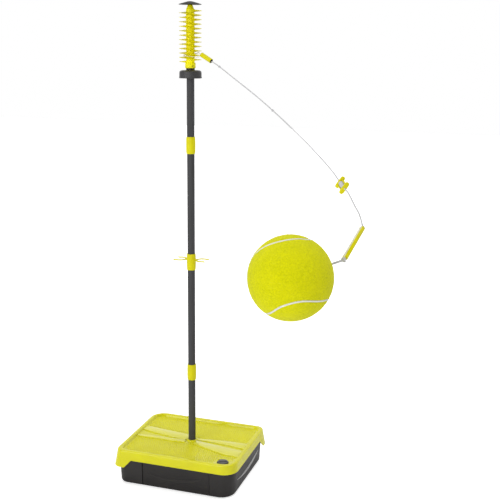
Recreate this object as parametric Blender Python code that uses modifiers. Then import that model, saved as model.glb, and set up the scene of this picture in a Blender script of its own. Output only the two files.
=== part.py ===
"""Tetherball set: a felt ball on a cord that orbits a spiral at the top of a sectional pole.

The pole stands in a hollow tub with a press-on lid. Units are metres and +Z is up. The origin is
the middle of the tub's underside, on the pole's axis, and the tub's long sides face -Y and +Y.
"""

import math

import bmesh
import bpy
from mathutils import Matrix, Vector

# ---------------------------------------------------------------- driving dimensions
GAP = 0.0003            # clearance between pieces that touch
ROUND_SIDES = 24        # sides of the pole and of everything on its axis

BASE_WIDTH = 0.466      # over the lid's skirt, along X
BASE_DEPTH = 0.382      # over the lid's skirt, along Y
BASE_CORNER = 0.055     # radius in plan of the two plain corners of tub and lid
DEEP_CORNER = 0.032     # and of the two where the skirt is deep
TRAY_DEEP_CORNER = 0.026  # the tray's smallest radius there
LID_TOP = 0.133         # height of the lid's rim
LID_WALL = 0.003
SKIRT_DEPTH = 0.036     # the lid's skirt, below the rim
DEEP_SKIRT_DEPTH = 0.064  # the skirt at its two deep corners
DEEP_SKIRT_LENGTH = 0.046  # how far the deep skirt runs from those corners
SKIRT_FLARE = 0.007     # how far it stands out there at its foot
RIM_WIDTH = 0.016
TRAY_DEPTH = 0.009      # the lid's tray, below the rim
TUB_WALL = 0.0035
TUB_BOTTOM_WIDTH = 0.442
TUB_BOTTOM_DEPTH = 0.366
TUB_TOP_WIDTH = 0.4558
TUB_TOP_DEPTH = 0.3720
TUB_FILLET = 0.012      # round at the foot of the tub's walls
BOSS_TOP = 0.012        # the solid pad in the tub that carries the socket

POLE_OD = 0.027
POLE_BORE = 0.0246
POLE_FOOT = 0.0168
SECTION_PITCH = 0.424
COLLAR_LENGTH = 0.060
COLLAR_STOP = 0.002     # thickness of the stop ring inside a collar
LOWER_COLLAR_Z = 0.399
POLE_TOP = 1.5305

FIN_RADIUS = 0.0397
CORE_RADIUS = 0.0147
HELIX_FOOT = 1.515
HELIX_SHOULDER = 1.7126
HELIX_TOP = 1.7286
FIN_PITCH = 0.015       # left-handed: the fin goes down as the angle about +Z grows
FIN_START_DEG = -12
FIN_END_DEG = 4182
FIN_START_Z = 1.7103    # middle of the fin at its top end
FIN_STEP_DEG = 22.5

EXIT_DEG = -20          # where the wire loop leaves the spiral, on its eleventh turn
EXIT_TURN_NUMBER = 10
LOOP_RADIUS = 0.024
WIRE_DIAMETER = 0.0024
FERRULE_TOP = Vector((0.047, -0.015, 1.562))
FERRULE_END = Vector((0.090, -0.030, 1.540))
FERRULE_DIAMETER = 0.016

CORD_DIAMETER = 0.0038
UPPER_ROUTE = [
    (0.129, -0.059, 1.523), (0.210, -0.133, 1.486), (0.313, -0.238, 1.442), (0.403, -0.344, 1.404),
    (0.489, -0.457, 1.368), (0.585, -0.595, 1.329), (0.676, -0.740, 1.291),
]
ADJUSTER_TOP = Vector((0.720, -0.820, 1.270))
ADJUSTER_END = Vector((0.740, -0.857, 1.260))
ADJUSTER_CROSSWAYS = Vector((0.40, 0.33, 0.86))
LOWER_ROUTE = [(0.757, -0.888, 1.253), (0.783, -0.943, 1.236), (0.805, -0.990, 1.222)]
SLEEVE_TOP = Vector((0.823, -1.040, 1.205))
SLEEVE_END = Vector((0.798, -1.105, 1.146))
SLEEVE_DIAMETER = 0.013
SLEEVE_BORE = 0.0088
END_KNOT_RADIUS = 0.0065
BALL_CENTRE = Vector((0.699, -1.188, 1.113))
BALL_DIAMETER = 0.187
BALL_SIDES = 24
BALL_RINGS = 14
FELT_THICKNESS = 0.0022
RUBBER_THICKNESS = 0.0020

UP = Vector((0, 0, 1))


# ---------------------------------------------------------------- scene and materials
def clear_scene():
    for obj in list(bpy.data.objects):
        bpy.data.objects.remove(obj, do_unlink=True)
    for collection in list(bpy.data.collections):
        bpy.data.collections.remove(collection)


def new_collection(name):
    collection = bpy.data.collections.new(name)
    bpy.context.scene.collection.children.link(collection)
    return collection


def material(name, colour, roughness, metallic=0.0):
    made = bpy.data.materials.new(name)
    made.use_nodes = True
    shader = made.node_tree.nodes["Principled BSDF"]
    shader.inputs["Base Color"].default_value = (*colour, 1.0)
    shader.inputs["Roughness"].default_value = roughness
    shader.inputs["Metallic"].default_value = metallic
    return made


clear_scene()
PARTS = new_collection("tetherball_set")
CUTTERS = new_collection("cutters")
YELLOW = material("yellow_plastic", (0.72, 0.70, 0.01), 0.32)
BLACK = material("black_plastic", (0.035, 0.031, 0.030), 0.45)
GREY_PAINT = material("grey_paint", (0.075, 0.075, 0.078), 0.40, 0.3)
CORD = material("cord", (0.70, 0.70, 0.72), 0.80)
STEEL = material("steel", (0.62, 0.62, 0.60), 0.30, 1.0)
FELT = material("felt", (0.62, 0.70, 0.02), 0.95)
RUBBER = material("rubber", (0.05, 0.05, 0.05), 0.80)


# ---------------------------------------------------------------- making objects
def add(name, data, finish, collection=PARTS, at=(0, 0, 0), turn=None):
    obj = bpy.data.objects.new(name, data)
    collection.objects.link(obj)
    obj.location = at
    if turn is not None:
        obj.rotation_mode = "QUATERNION"
        obj.rotation_quaternion = turn
    if finish is not None:
        data.materials.append(finish)
    return obj


def mesh_from(bm, name, smooth=True):
    bmesh.ops.recalc_face_normals(bm, faces=bm.faces)
    mesh = bpy.data.meshes.new(name)
    bm.to_mesh(mesh)
    bm.free()
    if smooth:
        mesh.shade_smooth()
        mesh.set_sharp_from_angle(angle=math.radians(35))
    return mesh


def turned(name, profile, finish, closed=False, sides=ROUND_SIDES, at=(0, 0, 0), turn=None,
           collection=PARTS):
    """A profile of (radius, height) turned about Z. A closed profile makes a ring or a tube."""
    bm = bmesh.new()
    points = [bm.verts.new((radius, 0, height)) for radius, height in profile]
    for first, second in zip(points, points[1:]):
        bm.edges.new((first, second))
    if closed:
        bm.edges.new((points[-1], points[0]))
    mesh = bpy.data.meshes.new(name)
    bm.to_mesh(mesh)
    bm.free()
    obj = add(name, mesh, finish, collection, at, turn)
    screw = obj.modifiers.new("turn", "SCREW")
    screw.steps = sides
    screw.render_steps = sides
    screw.use_merge_vertices = True
    screw.merge_threshold = 0.00001
    screw.use_smooth_shade = True
    return obj


def tube(name, points, diameter, finish, resolution=2, collection=PARTS):
    """A round cord or wire with flat ends through points that lie close together."""
    curve = bpy.data.curves.new(name, "CURVE")
    curve.dimensions = "3D"
    curve.bevel_depth = diameter / 2
    curve.bevel_resolution = resolution
    curve.use_fill_caps = True
    spline = curve.splines.new("POLY")
    spline.points.add(len(points) - 1)
    for target, point in zip(spline.points, points):
        target.co = (*point, 1)
    return add(name, curve, finish, collection)


def baked(obj):
    """The object's evaluated shape as a plain mesh object of the same name."""
    bpy.context.view_layer.update()
    graph = bpy.context.evaluated_depsgraph_get()
    mesh = bpy.data.meshes.new_from_object(obj.evaluated_get(graph))
    bm = bmesh.new()
    bm.from_mesh(mesh)
    bmesh.ops.transform(bm, matrix=obj.matrix_world, verts=bm.verts)
    bmesh.ops.remove_doubles(bm, verts=bm.verts, dist=0.000001)
    bmesh.ops.recalc_face_normals(bm, faces=bm.faces)
    bm.to_mesh(mesh)
    bm.free()
    name = obj.name
    collection = obj.users_collection[0]
    finish = obj.active_material
    bpy.data.objects.remove(obj, do_unlink=True)
    mesh.name = name
    mesh.materials.clear()
    return add(name, mesh, finish, collection)


def block(name, size, at, turn=None, collection=CUTTERS, finish=None, round_by=0.0):
    bm = bmesh.new()
    bmesh.ops.create_cube(bm, size=1.0)
    bmesh.ops.scale(bm, vec=size, verts=bm.verts)
    if round_by:
        bmesh.ops.bevel(bm, geom=bm.edges, offset=round_by, segments=2, profile=0.5, affect="EDGES")
    return add(name, mesh_from(bm, name, smooth=False), finish, collection, at, turn)


def rod(name, radius, length, at, turn=None, collection=CUTTERS, finish=None, sides=ROUND_SIDES):
    bm = bmesh.new()
    bmesh.ops.create_cone(bm, cap_ends=True, segments=sides, radius1=radius, radius2=radius,
                          depth=length)
    return add(name, mesh_from(bm, name), finish, collection, at, turn)


def plate(name, corners, low, high, collection=CUTTERS, finish=None):
    """An upright plate over a flat outline of (x, y) corners."""
    bm = bmesh.new()
    lower = bm.faces.new([bm.verts.new((x, y, low)) for x, y in corners])
    raised = bmesh.ops.extrude_face_region(bm, geom=[lower])
    verts = [item for item in raised["geom"] if isinstance(item, bmesh.types.BMVert)]
    bmesh.ops.translate(bm, vec=(0, 0, high - low), verts=verts)
    return add(name, mesh_from(bm, name, smooth=False), finish, collection)


def ball(name, radius, at, finish, collection=PARTS, segments=16, rings=10):
    bm = bmesh.new()
    bmesh.ops.create_uvsphere(bm, u_segments=segments, v_segments=rings, radius=radius)
    return add(name, mesh_from(bm, name), finish, collection, at)


def combine(target, other, operation):
    """Cuts target with other, or joins other to it, and keeps other as a hidden cutter."""
    if other.name not in CUTTERS.objects:
        for collection in list(other.users_collection):
            collection.objects.unlink(other)
        CUTTERS.objects.link(other)
    other.hide_render = True
    other.display_type = "WIRE"
    change = target.modifiers.new(other.name, "BOOLEAN")
    change.operation = operation
    change.solver = "EXACT"
    change.object = other


def along(direction):
    """The rotation that turns +Z to the direction."""
    return UP.rotation_difference(Vector(direction).normalized())


def circle_point(radius, angle, height):
    return Vector((radius * math.cos(angle), radius * math.sin(angle), height))


def smooth_route(points, spacing):
    """Evenly spaced points on a centripetal curve through the route's points."""
    knots = [Vector(p) for p in points]
    knots = [2 * knots[0] - knots[1]] + knots + [2 * knots[-1] - knots[-2]]
    fine = []
    for a, b, c, d in zip(knots, knots[1:], knots[2:], knots[3:]):
        for step in range(40):
            t = step / 40
            fine.append(0.5 * (2 * b + (c - a) * t + (2 * a - 5 * b + 4 * c - d) * t * t
                               + (3 * b - a - 3 * c + d) * t ** 3))
    fine.append(knots[-2])
    lengths = [0.0]
    for first, second in zip(fine, fine[1:]):
        lengths.append(lengths[-1] + (second - first).length)
    count = max(2, round(lengths[-1] / spacing))
    even = [fine[0]]
    index = 0
    for number in range(1, count):
        wanted = lengths[-1] * number / count
        while lengths[index + 1] < wanted:
            index += 1
        share = (wanted - lengths[index]) / (lengths[index + 1] - lengths[index])
        even.append(fine[index].lerp(fine[index + 1], share))
    return even + [fine[-1]]


# ---------------------------------------------------------------- rounded boxes in plan
def outline(width, depth, corners, side_points=((), ())):
    """Points round a rectangle with round corners.

    corners holds two radii, for the two corners with x and y of one sign and for the other two.
    side_points holds, for each of those, distances from the corner along its two sides.
    """
    points = []
    for quarter in range(4):
        sx = (1, -1, -1, 1)[quarter]
        sy = (1, 1, -1, -1)[quarter]
        corner = corners[quarter % 2]
        centre = Vector((sx * (width / 2 - corner), sy * (depth / 2 - corner), 0))
        arc = []
        for step in range(7):
            angle = math.pi / 2 * (quarter + step / 6)
            arc.append(centre + Vector((math.cos(angle), math.sin(angle), 0)) * corner)
        before = []
        after = []
        for distance in side_points[quarter % 2]:
            along_y = Vector((sx * width / 2, sy * (depth / 2 - distance), 0))
            along_x = Vector((sx * (width / 2 - distance), sy * depth / 2, 0))
            first, last = (along_y, along_x) if quarter % 2 == 0 else (along_x, along_y)
            before.append(first)
            after.append(last)
        points += before[::-1] + arc + after
    return points


def lofted(name, rings, finish):
    """A closed solid over rings of equal count, with its first and last ring filled."""
    bm = bmesh.new()
    rows = [[bm.verts.new(p) for p in ring] for ring in rings]
    count = len(rows[0])
    for low, high in zip(rows, rows[1:]):
        for i in range(count):
            j = (i + 1) % count
            bm.faces.new((low[i], low[j], high[j], high[i]))
    bm.faces.new(rows[0][::-1])
    bm.faces.new(rows[-1])
    return add(name, mesh_from(bm, name), finish)


def level(width, depth, corners, height):
    return [Vector((p.x, p.y, height)) for p in outline(width, depth, corners)]


# ---------------------------------------------------------------- base
TRAY_TOP = LID_TOP - TRAY_DEPTH
TRAY_INSET = RIM_WIDTH + 0.004
FILLER_AT = Vector((0.176, -0.146, 0))
SOCKET_TOP = LID_TOP - 0.018
SCREW_CIRCLE = 0.036
PANEL_MIDDLE = 0.007    # the set-back panels of the long walls sit a little to +X
PANEL_WIDTH = 0.266
PANEL_SETBACK = 0.0012
PAD_HEIGHT = 0.004      # the smooth pads that fan out from the pole, above the tray
PADS = [
    [(-0.214, 0.060), (-0.130, 0.047), (-0.020, 0.034), (-0.018, -0.012), (-0.040, -0.014),
     (-0.132, 0.005), (-0.214, 0.022)],
    [(-0.214, -0.022), (-0.018, -0.016), (-0.018, -0.033), (-0.214, -0.038)],
    [(0.018, 0.010), (0.130, 0.024), (0.214, 0.026), (0.214, -0.019), (0.149, -0.007),
     (0.085, -0.002), (0.018, 0.000)],
    [(0.018, -0.006), (0.214, -0.040), (0.214, -0.090), (0.158, -0.087), (0.128, -0.078),
     (0.018, -0.036)],
]


def tub_size(height):
    share = height / (LID_TOP - LID_WALL)
    width = TUB_BOTTOM_WIDTH + (TUB_TOP_WIDTH - TUB_BOTTOM_WIDTH) * share
    depth = TUB_BOTTOM_DEPTH + (TUB_TOP_DEPTH - TUB_BOTTOM_DEPTH) * share
    return width, depth


def tub_ring(inset, height):
    width, depth = tub_size(height)
    corners = (DEEP_CORNER - inset, BASE_CORNER - inset)
    return level(width - 2 * inset, depth - 2 * inset, corners, height)


def screw_places():
    angles = [math.radians(45 + 90 * number) for number in range(4)]
    return [circle_point(SCREW_CIRCLE, angle, 0) for angle in angles]


def build_tub():
    rim = LID_TOP - LID_WALL - GAP
    steps = [math.pi / 2 * step / 3 for step in range(4)]
    rings = []
    for angle in steps:
        foot = TUB_FILLET * (1 - math.cos(angle))
        rings.append(tub_ring(TUB_FILLET * (1 - math.sin(angle)), foot))
    rings.append(tub_ring(0, rim))
    rings.append(tub_ring(TUB_WALL, rim))
    inner = TUB_FILLET - TUB_WALL
    for angle in reversed(steps):
        inset = TUB_WALL + inner * (1 - math.sin(angle))
        rings.append(tub_ring(inset, TUB_WALL + inner * (1 - math.cos(angle))))
    tub = lofted("base_tub", rings, BLACK)
    draft = math.atan2((TUB_TOP_DEPTH - TUB_BOTTOM_DEPTH) / 2, LID_TOP - LID_WALL)
    thickness = 0.010
    for side in (-1, 1):
        wall = side * tub_size(LID_TOP / 2)[1] / 2
        at = (PANEL_MIDDLE, wall + side * (thickness / 2 - PANEL_SETBACK), LID_TOP / 2)
        turn = Matrix.Rotation(-side * draft, 4, "X").to_quaternion()
        panel = block("panel_cut", (PANEL_WIDTH, thickness, 2 * LID_TOP), at, turn)
        combine(tub, panel, "DIFFERENCE")
    pad_foot = TUB_WALL / 2
    pad = rod("socket_pad", 0.050, BOSS_TOP - pad_foot, (0, 0, (BOSS_TOP + pad_foot) / 2))
    combine(tub, pad, "UNION")
    for place in screw_places():
        at = place + UP * BOSS_TOP
        combine(tub, rod("screw_hole", 0.0023, 0.016, at, sides=12), "DIFFERENCE")
    return tub


def build_pole_socket():
    floor = BOSS_TOP + GAP
    bore = POLE_OD / 2 + GAP
    socket = turned("pole_socket", [
        (0, SOCKET_TOP), (0.0178, SOCKET_TOP), (0.0215, floor + 0.012), (0.0240, floor + 0.004),
        (0.0460, floor + 0.004), (0.0460, floor), (0, floor)], BLACK)
    bore_foot = POLE_FOOT - GAP
    height = 0.2
    combine(socket, rod("socket_bore", bore, height, (0, 0, bore_foot + height / 2)), "DIFFERENCE")
    for place in screw_places():
        hole = rod("flange_hole", 0.0023, 0.02, place + UP * floor, sides=12)
        combine(socket, hole, "DIFFERENCE")
    return socket


def build_socket_screws():
    """Four pan-head screws that hold the socket down."""
    seat = BOSS_TOP + 2 * GAP + 0.004
    profile = [(0, seat + 0.0026), (0.0034, seat + 0.0022), (0.0041, seat + 0.0008), (0.0041, seat),
               (0.0019, seat), (0.0019, seat - 0.0110), (0, seat - 0.0120)]
    screws = []
    for number, place in enumerate(screw_places(), start=1):
        screws.append(turned(f"socket_screw_{number}", profile, STEEL, sides=12, at=place))
    return screws


def skirt_ring(inset):
    """The skirt's lower edge, which drops and stands out at two opposite corners."""
    ring = []
    for point in lid_outline(inset):
        past_x = abs(point.x) - (BASE_WIDTH / 2 - DEEP_SKIRT_LENGTH)
        past_y = abs(point.y) - (BASE_DEPTH / 2 - DEEP_SKIRT_LENGTH)
        deep = min(past_x, past_y) > -0.0001 and point.x * point.y > 0
        drop = DEEP_SKIRT_DEPTH if deep else SKIRT_DEPTH
        flare = SKIRT_FLARE if deep else 0
        ring.append(Vector((point.x + math.copysign(flare, point.x),
                            point.y + math.copysign(flare, point.y), LID_TOP - drop)))
    return ring


def lid_outline(inset):
    corners = (max(DEEP_CORNER - inset, TRAY_DEEP_CORNER), BASE_CORNER - inset)
    side_points = ((DEEP_SKIRT_LENGTH - inset, DEEP_SKIRT_LENGTH + 0.020 - inset),
                   (BASE_CORNER + 0.005 - inset, BASE_CORNER + 0.020 - inset))
    return outline(BASE_WIDTH - 2 * inset, BASE_DEPTH - 2 * inset, corners, side_points)


def lid_ring(inset, height):
    return [Vector((p.x, p.y, height)) for p in lid_outline(inset)]


def build_lid():
    rings = [
        lid_ring(TRAY_INSET, TRAY_TOP),
        lid_ring(RIM_WIDTH, LID_TOP - 0.0012),
        lid_ring(RIM_WIDTH - 0.002, LID_TOP),
        lid_ring(0.0070, LID_TOP),
        lid_ring(0.0030, LID_TOP - 0.0009),
        lid_ring(0.0012, LID_TOP - 0.0036),
        skirt_ring(0),
        skirt_ring(LID_WALL),
        lid_ring(0.0036, LID_TOP - 0.0046),
        lid_ring(0.0044, LID_TOP - LID_WALL),
        lid_ring(RIM_WIDTH - 0.003, LID_TOP - LID_WALL),
        lid_ring(TRAY_INSET - 0.001, TRAY_TOP - LID_WALL),
    ]
    lid = lofted("base_lid", rings, YELLOW)
    combine(lid, rod("pole_ring", 0.0185, 0.0045, (0, 0, TRAY_TOP + 0.0003)), "UNION")
    for number, corners in enumerate(PADS, start=1):
        pad = plate(f"lid_pad_{number}", corners, TRAY_TOP - 0.0010, TRAY_TOP + PAD_HEIGHT)
        combine(lid, pad, "UNION")
    lug_at = FILLER_AT + Vector((-0.0215, 0.0200, TRAY_TOP))
    lug_turn = Matrix.Rotation(math.radians(40), 4, "Z").to_quaternion()
    combine(lid, block("plug_lug", (0.007, 0.012, 0.006), lug_at, lug_turn), "UNION")
    combine(lid, rod("pole_hole", POLE_OD / 2 + 2 * GAP, 0.05, (0, 0, TRAY_TOP)), "DIFFERENCE")
    filler = rod("filler_hole", 0.0176, 0.05, FILLER_AT + UP * TRAY_TOP)
    combine(lid, filler, "DIFFERENCE")
    return lid


def build_filler():
    neck_top = TRAY_TOP + GAP + 0.0010
    neck = turned("filler_neck", [
        (0.0148, neck_top), (0.0215, neck_top), (0.0215, TRAY_TOP + GAP), (0.0173, TRAY_TOP + GAP),
        (0.0173, TRAY_TOP - 0.019), (0.0148, TRAY_TOP - 0.019)], BLACK, closed=True, at=FILLER_AT)
    seal_foot = neck_top + GAP
    seal_top = seal_foot + 0.0010
    seal = turned("plug_seal", [
        (0.0152, seal_top), (0.0186, seal_top), (0.0186, seal_foot), (0.0152, seal_foot)],
        RUBBER, closed=True, at=FILLER_AT)
    foot = seal_top + GAP
    plug = turned("filler_plug", [
        (0, foot + 0.0022), (0.0180, foot + 0.0022), (0.0190, foot + 0.0014), (0.0190, foot),
        (0.0144, foot), (0.0144, TRAY_TOP - 0.015), (0, TRAY_TOP - 0.015)], BLACK, at=FILLER_AT)
    grip_turn = Matrix.Rotation(math.radians(20), 4, "Z").to_quaternion()
    grip = block("plug_grip", (0.031, 0.0065, 0.0050), FILLER_AT + UP * (foot + 0.0025), grip_turn)
    combine(plug, grip, "UNION")
    return [neck], [plug, seal]


# ---------------------------------------------------------------- pole
def collar_z(number):
    return LOWER_COLLAR_Z + SECTION_PITCH * number


def build_section(name, foot, top):
    outer = POLE_OD / 2
    inner = POLE_BORE / 2
    return turned(name, [(inner, top), (outer, top), (outer, foot), (inner, foot)], GREY_PAINT,
                  closed=True)


def build_collar(name, middle):
    """A barrel-shaped sleeve with a stop ring inside, and a fine parting line round its middle."""
    bore = POLE_OD / 2 + GAP
    half = COLLAR_LENGTH / 2
    stop = COLLAR_STOP / 2
    outer = [(0.0155, half), (0.0163, half - 0.004), (0.0168, half / 2), (0.0169, 0.0006),
             (0.0166, 0)]
    lower = [(radius, -height) for radius, height in reversed(outer[:-1])]
    inner = [(bore, -half), (bore, -stop), (0.0112, -stop), (0.0112, stop), (bore, stop),
             (bore, half)]
    return turned(name, outer + lower + inner, YELLOW, closed=True, at=(0, 0, middle))


def build_pole():
    seat = COLLAR_STOP / 2 + GAP
    feet = [POLE_FOOT] + [collar_z(number) + seat for number in range(3)]
    tops = [collar_z(number) - seat for number in range(3)] + [POLE_TOP]
    sections = []
    for number, (foot, top) in enumerate(zip(feet, tops), start=1):
        sections.append(build_section(f"pole_section_{number}", foot, top))
    names = ("collar_lower", "collar_clip", "collar_upper")
    collars = [build_collar(name, collar_z(number)) for number, name in enumerate(names)]
    return sections, collars


def build_bat_clip(name, side):
    """A C-shaped fork that grips a bat's handle, lying flat beside the middle collar."""
    height = collar_z(1) + 0.008
    grip = 0.0225
    centre = Vector((side * 0.0426, 0, height))
    grip_angles = range(-120, 121, 24)
    outline_points = [(-math.cos(math.radians(a)) * grip, math.sin(math.radians(a)) * grip)
                      for a in grip_angles]
    outline_points = [(0.0165, -0.0235)] + outline_points + [(0.0165, 0.0235)]
    route = [centre + Vector((side * x, y, 0)) for x, y in outline_points]
    fork = baked(tube(name, route, 0.0046, YELLOW))
    root_at = Vector((side * 0.0196, 0, height))
    combine(fork, block("clip_root", (0.0044, 0.013, 0.0080), root_at), "UNION")
    return fork


# ---------------------------------------------------------------- head of the pole
def build_guard():
    bore = POLE_OD / 2 + GAP
    return turned("guard_flange", [
        (bore, 1.5080), (0.0290, 1.5080), (0.0345, 1.5065), (0.0378, 1.5035), (0.0386, 1.4995),
        (0.0388, 1.4852), (0.0396, 1.4846), (0.0396, 1.4807), (0.0368, 1.4807), (0.0362, 1.4990),
        (0.0335, 1.5045), (0.0180, 1.5055), (0.0165, 1.4815), (bore, 1.4815)], BLACK, closed=True)


def build_neck_bush():
    bore = POLE_OD / 2 + GAP
    return turned("neck_bush", [
        (bore, HELIX_FOOT - GAP), (0.0151, HELIX_FOOT - GAP), (0.0151, 1.5083), (bore, 1.5083)],
        BLACK, closed=True)


def fin_height(degrees):
    """Height of the middle of the fin at an angle that keeps counting up, turn after turn."""
    return FIN_START_Z - FIN_PITCH * (degrees - FIN_START_DEG) / 360


def build_fin():
    """The spiral fin: a tapered section swept down round the core, with both ends faired in."""
    root = CORE_RADIUS - 0.0022
    run_in = 25
    bm = bmesh.new()
    rows = []
    count = round((FIN_END_DEG - FIN_START_DEG) / FIN_STEP_DEG)
    for step in range(count + 1):
        degrees = FIN_START_DEG + (FIN_END_DEG - FIN_START_DEG) * step / count
        from_end = min(degrees - FIN_START_DEG, FIN_END_DEG - degrees)
        share = 0.25 + 0.75 * min(1, from_end / run_in)
        edge = root + (FIN_RADIUS - root) * share
        angle = math.radians(degrees)
        middle = fin_height(degrees)
        section = [(root, 0.0029), (edge, 0.0009), (edge, -0.0009), (root, -0.0029)]
        rows.append([bm.verts.new(circle_point(r, angle, middle + z)) for r, z in section])
    for first, second in zip(rows, rows[1:]):
        for i in range(4):
            j = (i + 1) % 4
            bm.faces.new((first[i], first[j], second[j], second[i]))
    bm.faces.new(rows[0][::-1])
    bm.faces.new(rows[-1])
    return add("helix_fin", mesh_from(bm, "helix_fin"), None, CUTTERS)


def button_direction():
    return circle_point(1, math.radians(-40), 0)


def build_helix():
    bore = POLE_OD / 2 + GAP
    helix = turned("helix", [
        (0.0051, HELIX_TOP), (0.0080, HELIX_TOP), (CORE_RADIUS, HELIX_SHOULDER),
        (CORE_RADIUS, 1.5345), (0.0183, 1.5322), (0.0183, 1.5162), (0.0176, HELIX_FOOT),
        (bore, HELIX_FOOT), (bore, POLE_TOP + GAP), (0.0100, POLE_TOP + 0.004), (0.0100, 1.7000),
        (0.0051, 1.7050)], YELLOW, closed=True)
    combine(helix, build_fin(), "UNION")
    at = button_direction() * 0.018 + UP * 1.5224
    combine(helix, rod("button_hole", 0.0026, 0.012, at, along(button_direction()), sides=12),
            "DIFFERENCE")
    return helix


def build_snap_button(top_section):
    """A sprung button in the pole's top that holds the spiral on, and its hairpin spring."""
    outwards = button_direction()
    height = 1.5224
    turn = along(outwards)
    hole = rod("section_hole", 0.0026, 0.008, outwards * 0.013 + UP * height, turn, sides=12)
    combine(top_section, hole, "DIFFERENCE")
    button = turned("snap_button", [(0, 0.0182), (0.0015, 0.0180), (0.0022, 0.0172), (0.0022, 0.0112),
                                    (0, 0.0112)], STEEL, sides=12, at=(0, 0, height), turn=turn)
    route = [outwards * 0.0100 + UP * height, outwards * 0.0098 + UP * (height - 0.010),
             outwards * 0.0070 + UP * (height - 0.022), UP * (height - 0.027),
             outwards * -0.0070 + UP * (height - 0.022), outwards * -0.0098 + UP * (height - 0.010),
             outwards * -0.0105 + UP * (height - 0.002)]
    spring = tube("button_spring", smooth_route(route, 0.003), 0.0012, STEEL)
    return button, spring


def build_guard_pin(top_section):
    outwards = circle_point(1, math.radians(-91), 0)
    height = 1.4762
    turn = along(outwards)
    hole = rod("pin_hole", 0.0016, 0.008, outwards * 0.013 + UP * height, turn, sides=12)
    combine(top_section, hole, "DIFFERENCE")
    return turned("guard_pin", [
        (0, 0.0149), (0.0012, 0.0147), (0.0020, 0.0138), (0.0012, 0.0138), (0.0012, 0.0115),
        (0, 0.0115)], STEEL, sides=12, at=(0, 0, height), turn=turn)


def build_cap():
    return turned("top_cap", [
        (0, 1.7402), (0.0070, 1.7400), (0.0150, 1.7385), (0.0270, 1.7350), (0.0380, 1.7310),
        (0.0396, 1.7300), (0.0394, 1.7290), (0.0370, 1.7290), (0.0200, 1.7310), (0.0100, 1.7315),
        (0.0070, HELIX_TOP + GAP), (0.0047, HELIX_TOP + GAP), (0.0047, 1.7125), (0, 1.7115)], BLACK)


# ---------------------------------------------------------------- loop and tether
def build_wire_loop():
    """One wire round the core in the fin's groove. Both its ends meet in the ferrule."""
    exit_height = fin_height(EXIT_DEG + 360 * EXIT_TURN_NUMBER)
    outwards = (FERRULE_END - FERRULE_TOP).normalized()
    half = FIN_PITCH / 2
    across = (UP - outwards * UP.dot(outwards)).normalized() * 0.0018
    entry = FERRULE_TOP - outwards * 0.0006
    straight = FERRULE_TOP - outwards * 0.0034
    route = [entry - across, straight - across]
    route.append(circle_point(0.0425, math.radians(EXIT_DEG), exit_height - 0.0056))
    route.append(circle_point(0.0360, math.radians(EXIT_DEG - 7), exit_height - half))
    for degrees in range(35, 326, 29):
        height = exit_height - half + FIN_PITCH * degrees / 360
        route.append(circle_point(LOOP_RADIUS, math.radians(EXIT_DEG - degrees), height))
    route.append(circle_point(0.0360, math.radians(EXIT_DEG + 7), exit_height + half))
    route.append(circle_point(0.0425, math.radians(EXIT_DEG), exit_height + 0.0056))
    route += [straight + across, entry + across]
    return tube("wire_loop", smooth_route(route, 0.0032), WIRE_DIAMETER, STEEL)


def build_ferrule():
    axis = (FERRULE_END - FERRULE_TOP).normalized()
    length = (FERRULE_END - FERRULE_TOP).length
    radius = FERRULE_DIAMETER / 2
    body = turned("ferrule", [
        (0, length - 0.0036), (radius, length - 0.0036), (radius, 0.0040), (radius - 0.0006, 0.0036),
        (radius - 0.0006, 0.0030), (radius, 0.0026), (radius, 0.0008), (radius - 0.0010, 0),
        (0, 0)], YELLOW, at=FERRULE_TOP, turn=along(axis))
    bush = turned("ferrule_bush", [
        (0, length), (radius - 0.0008, length), (radius, length - 0.0008),
        (radius, length - 0.0033), (0, length - 0.0033)], BLACK, at=FERRULE_TOP, turn=along(axis))
    return body, bush


def bead_centre():
    axis = (FERRULE_END - FERRULE_TOP).normalized()
    return FERRULE_END + axis * 0.0034


def build_bead(name, tangent, at):
    """A small knot, drawn tight round the cord that runs through it."""
    return turned(name, [
        (0.0023, 0.0042), (0.0032, 0.0038), (0.0042, 0.0014), (0.0042, -0.0014), (0.0032, -0.0038),
        (0.0023, -0.0042)], CORD, closed=True, sides=12, at=at, turn=along(tangent))


def build_upper_cord():
    start = bead_centre()
    first = (Vector(UPPER_ROUTE[0]) - start).normalized()
    axis = (ADJUSTER_END - ADJUSTER_TOP).normalized()
    route = [start + first * 0.0033] + UPPER_ROUTE + [ADJUSTER_TOP - axis * GAP]
    points = smooth_route(route, 0.0165)
    knots = []
    for number, place in ((1, UPPER_ROUTE[0]), (2, UPPER_ROUTE[3])):
        nearest = min(range(1, len(points) - 1), key=lambda i: (points[i] - Vector(place)).length)
        tangent = points[nearest + 1] - points[nearest - 1]
        knots.append(build_bead(f"cord_knot_{number}", tangent, points[nearest]))
    return tube("tether_upper", points, CORD_DIAMETER, CORD), knots


def build_lower_cord():
    axis = (ADJUSTER_END - ADJUSTER_TOP).normalized()
    last = (SLEEVE_TOP - Vector(LOWER_ROUTE[-1])).normalized()
    route = [ADJUSTER_END + axis * GAP] + LOWER_ROUTE + [SLEEVE_TOP - last * 0.0043]
    return tube("tether_lower", smooth_route(route, 0.012), CORD_DIAMETER, CORD)


def adjuster_turn():
    axis = (ADJUSTER_END - ADJUSTER_TOP).normalized()
    across = (ADJUSTER_CROSSWAYS - axis * ADJUSTER_CROSSWAYS.dot(axis)).normalized()
    return Matrix((across, axis.cross(across), axis)).transposed().to_quaternion()


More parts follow.
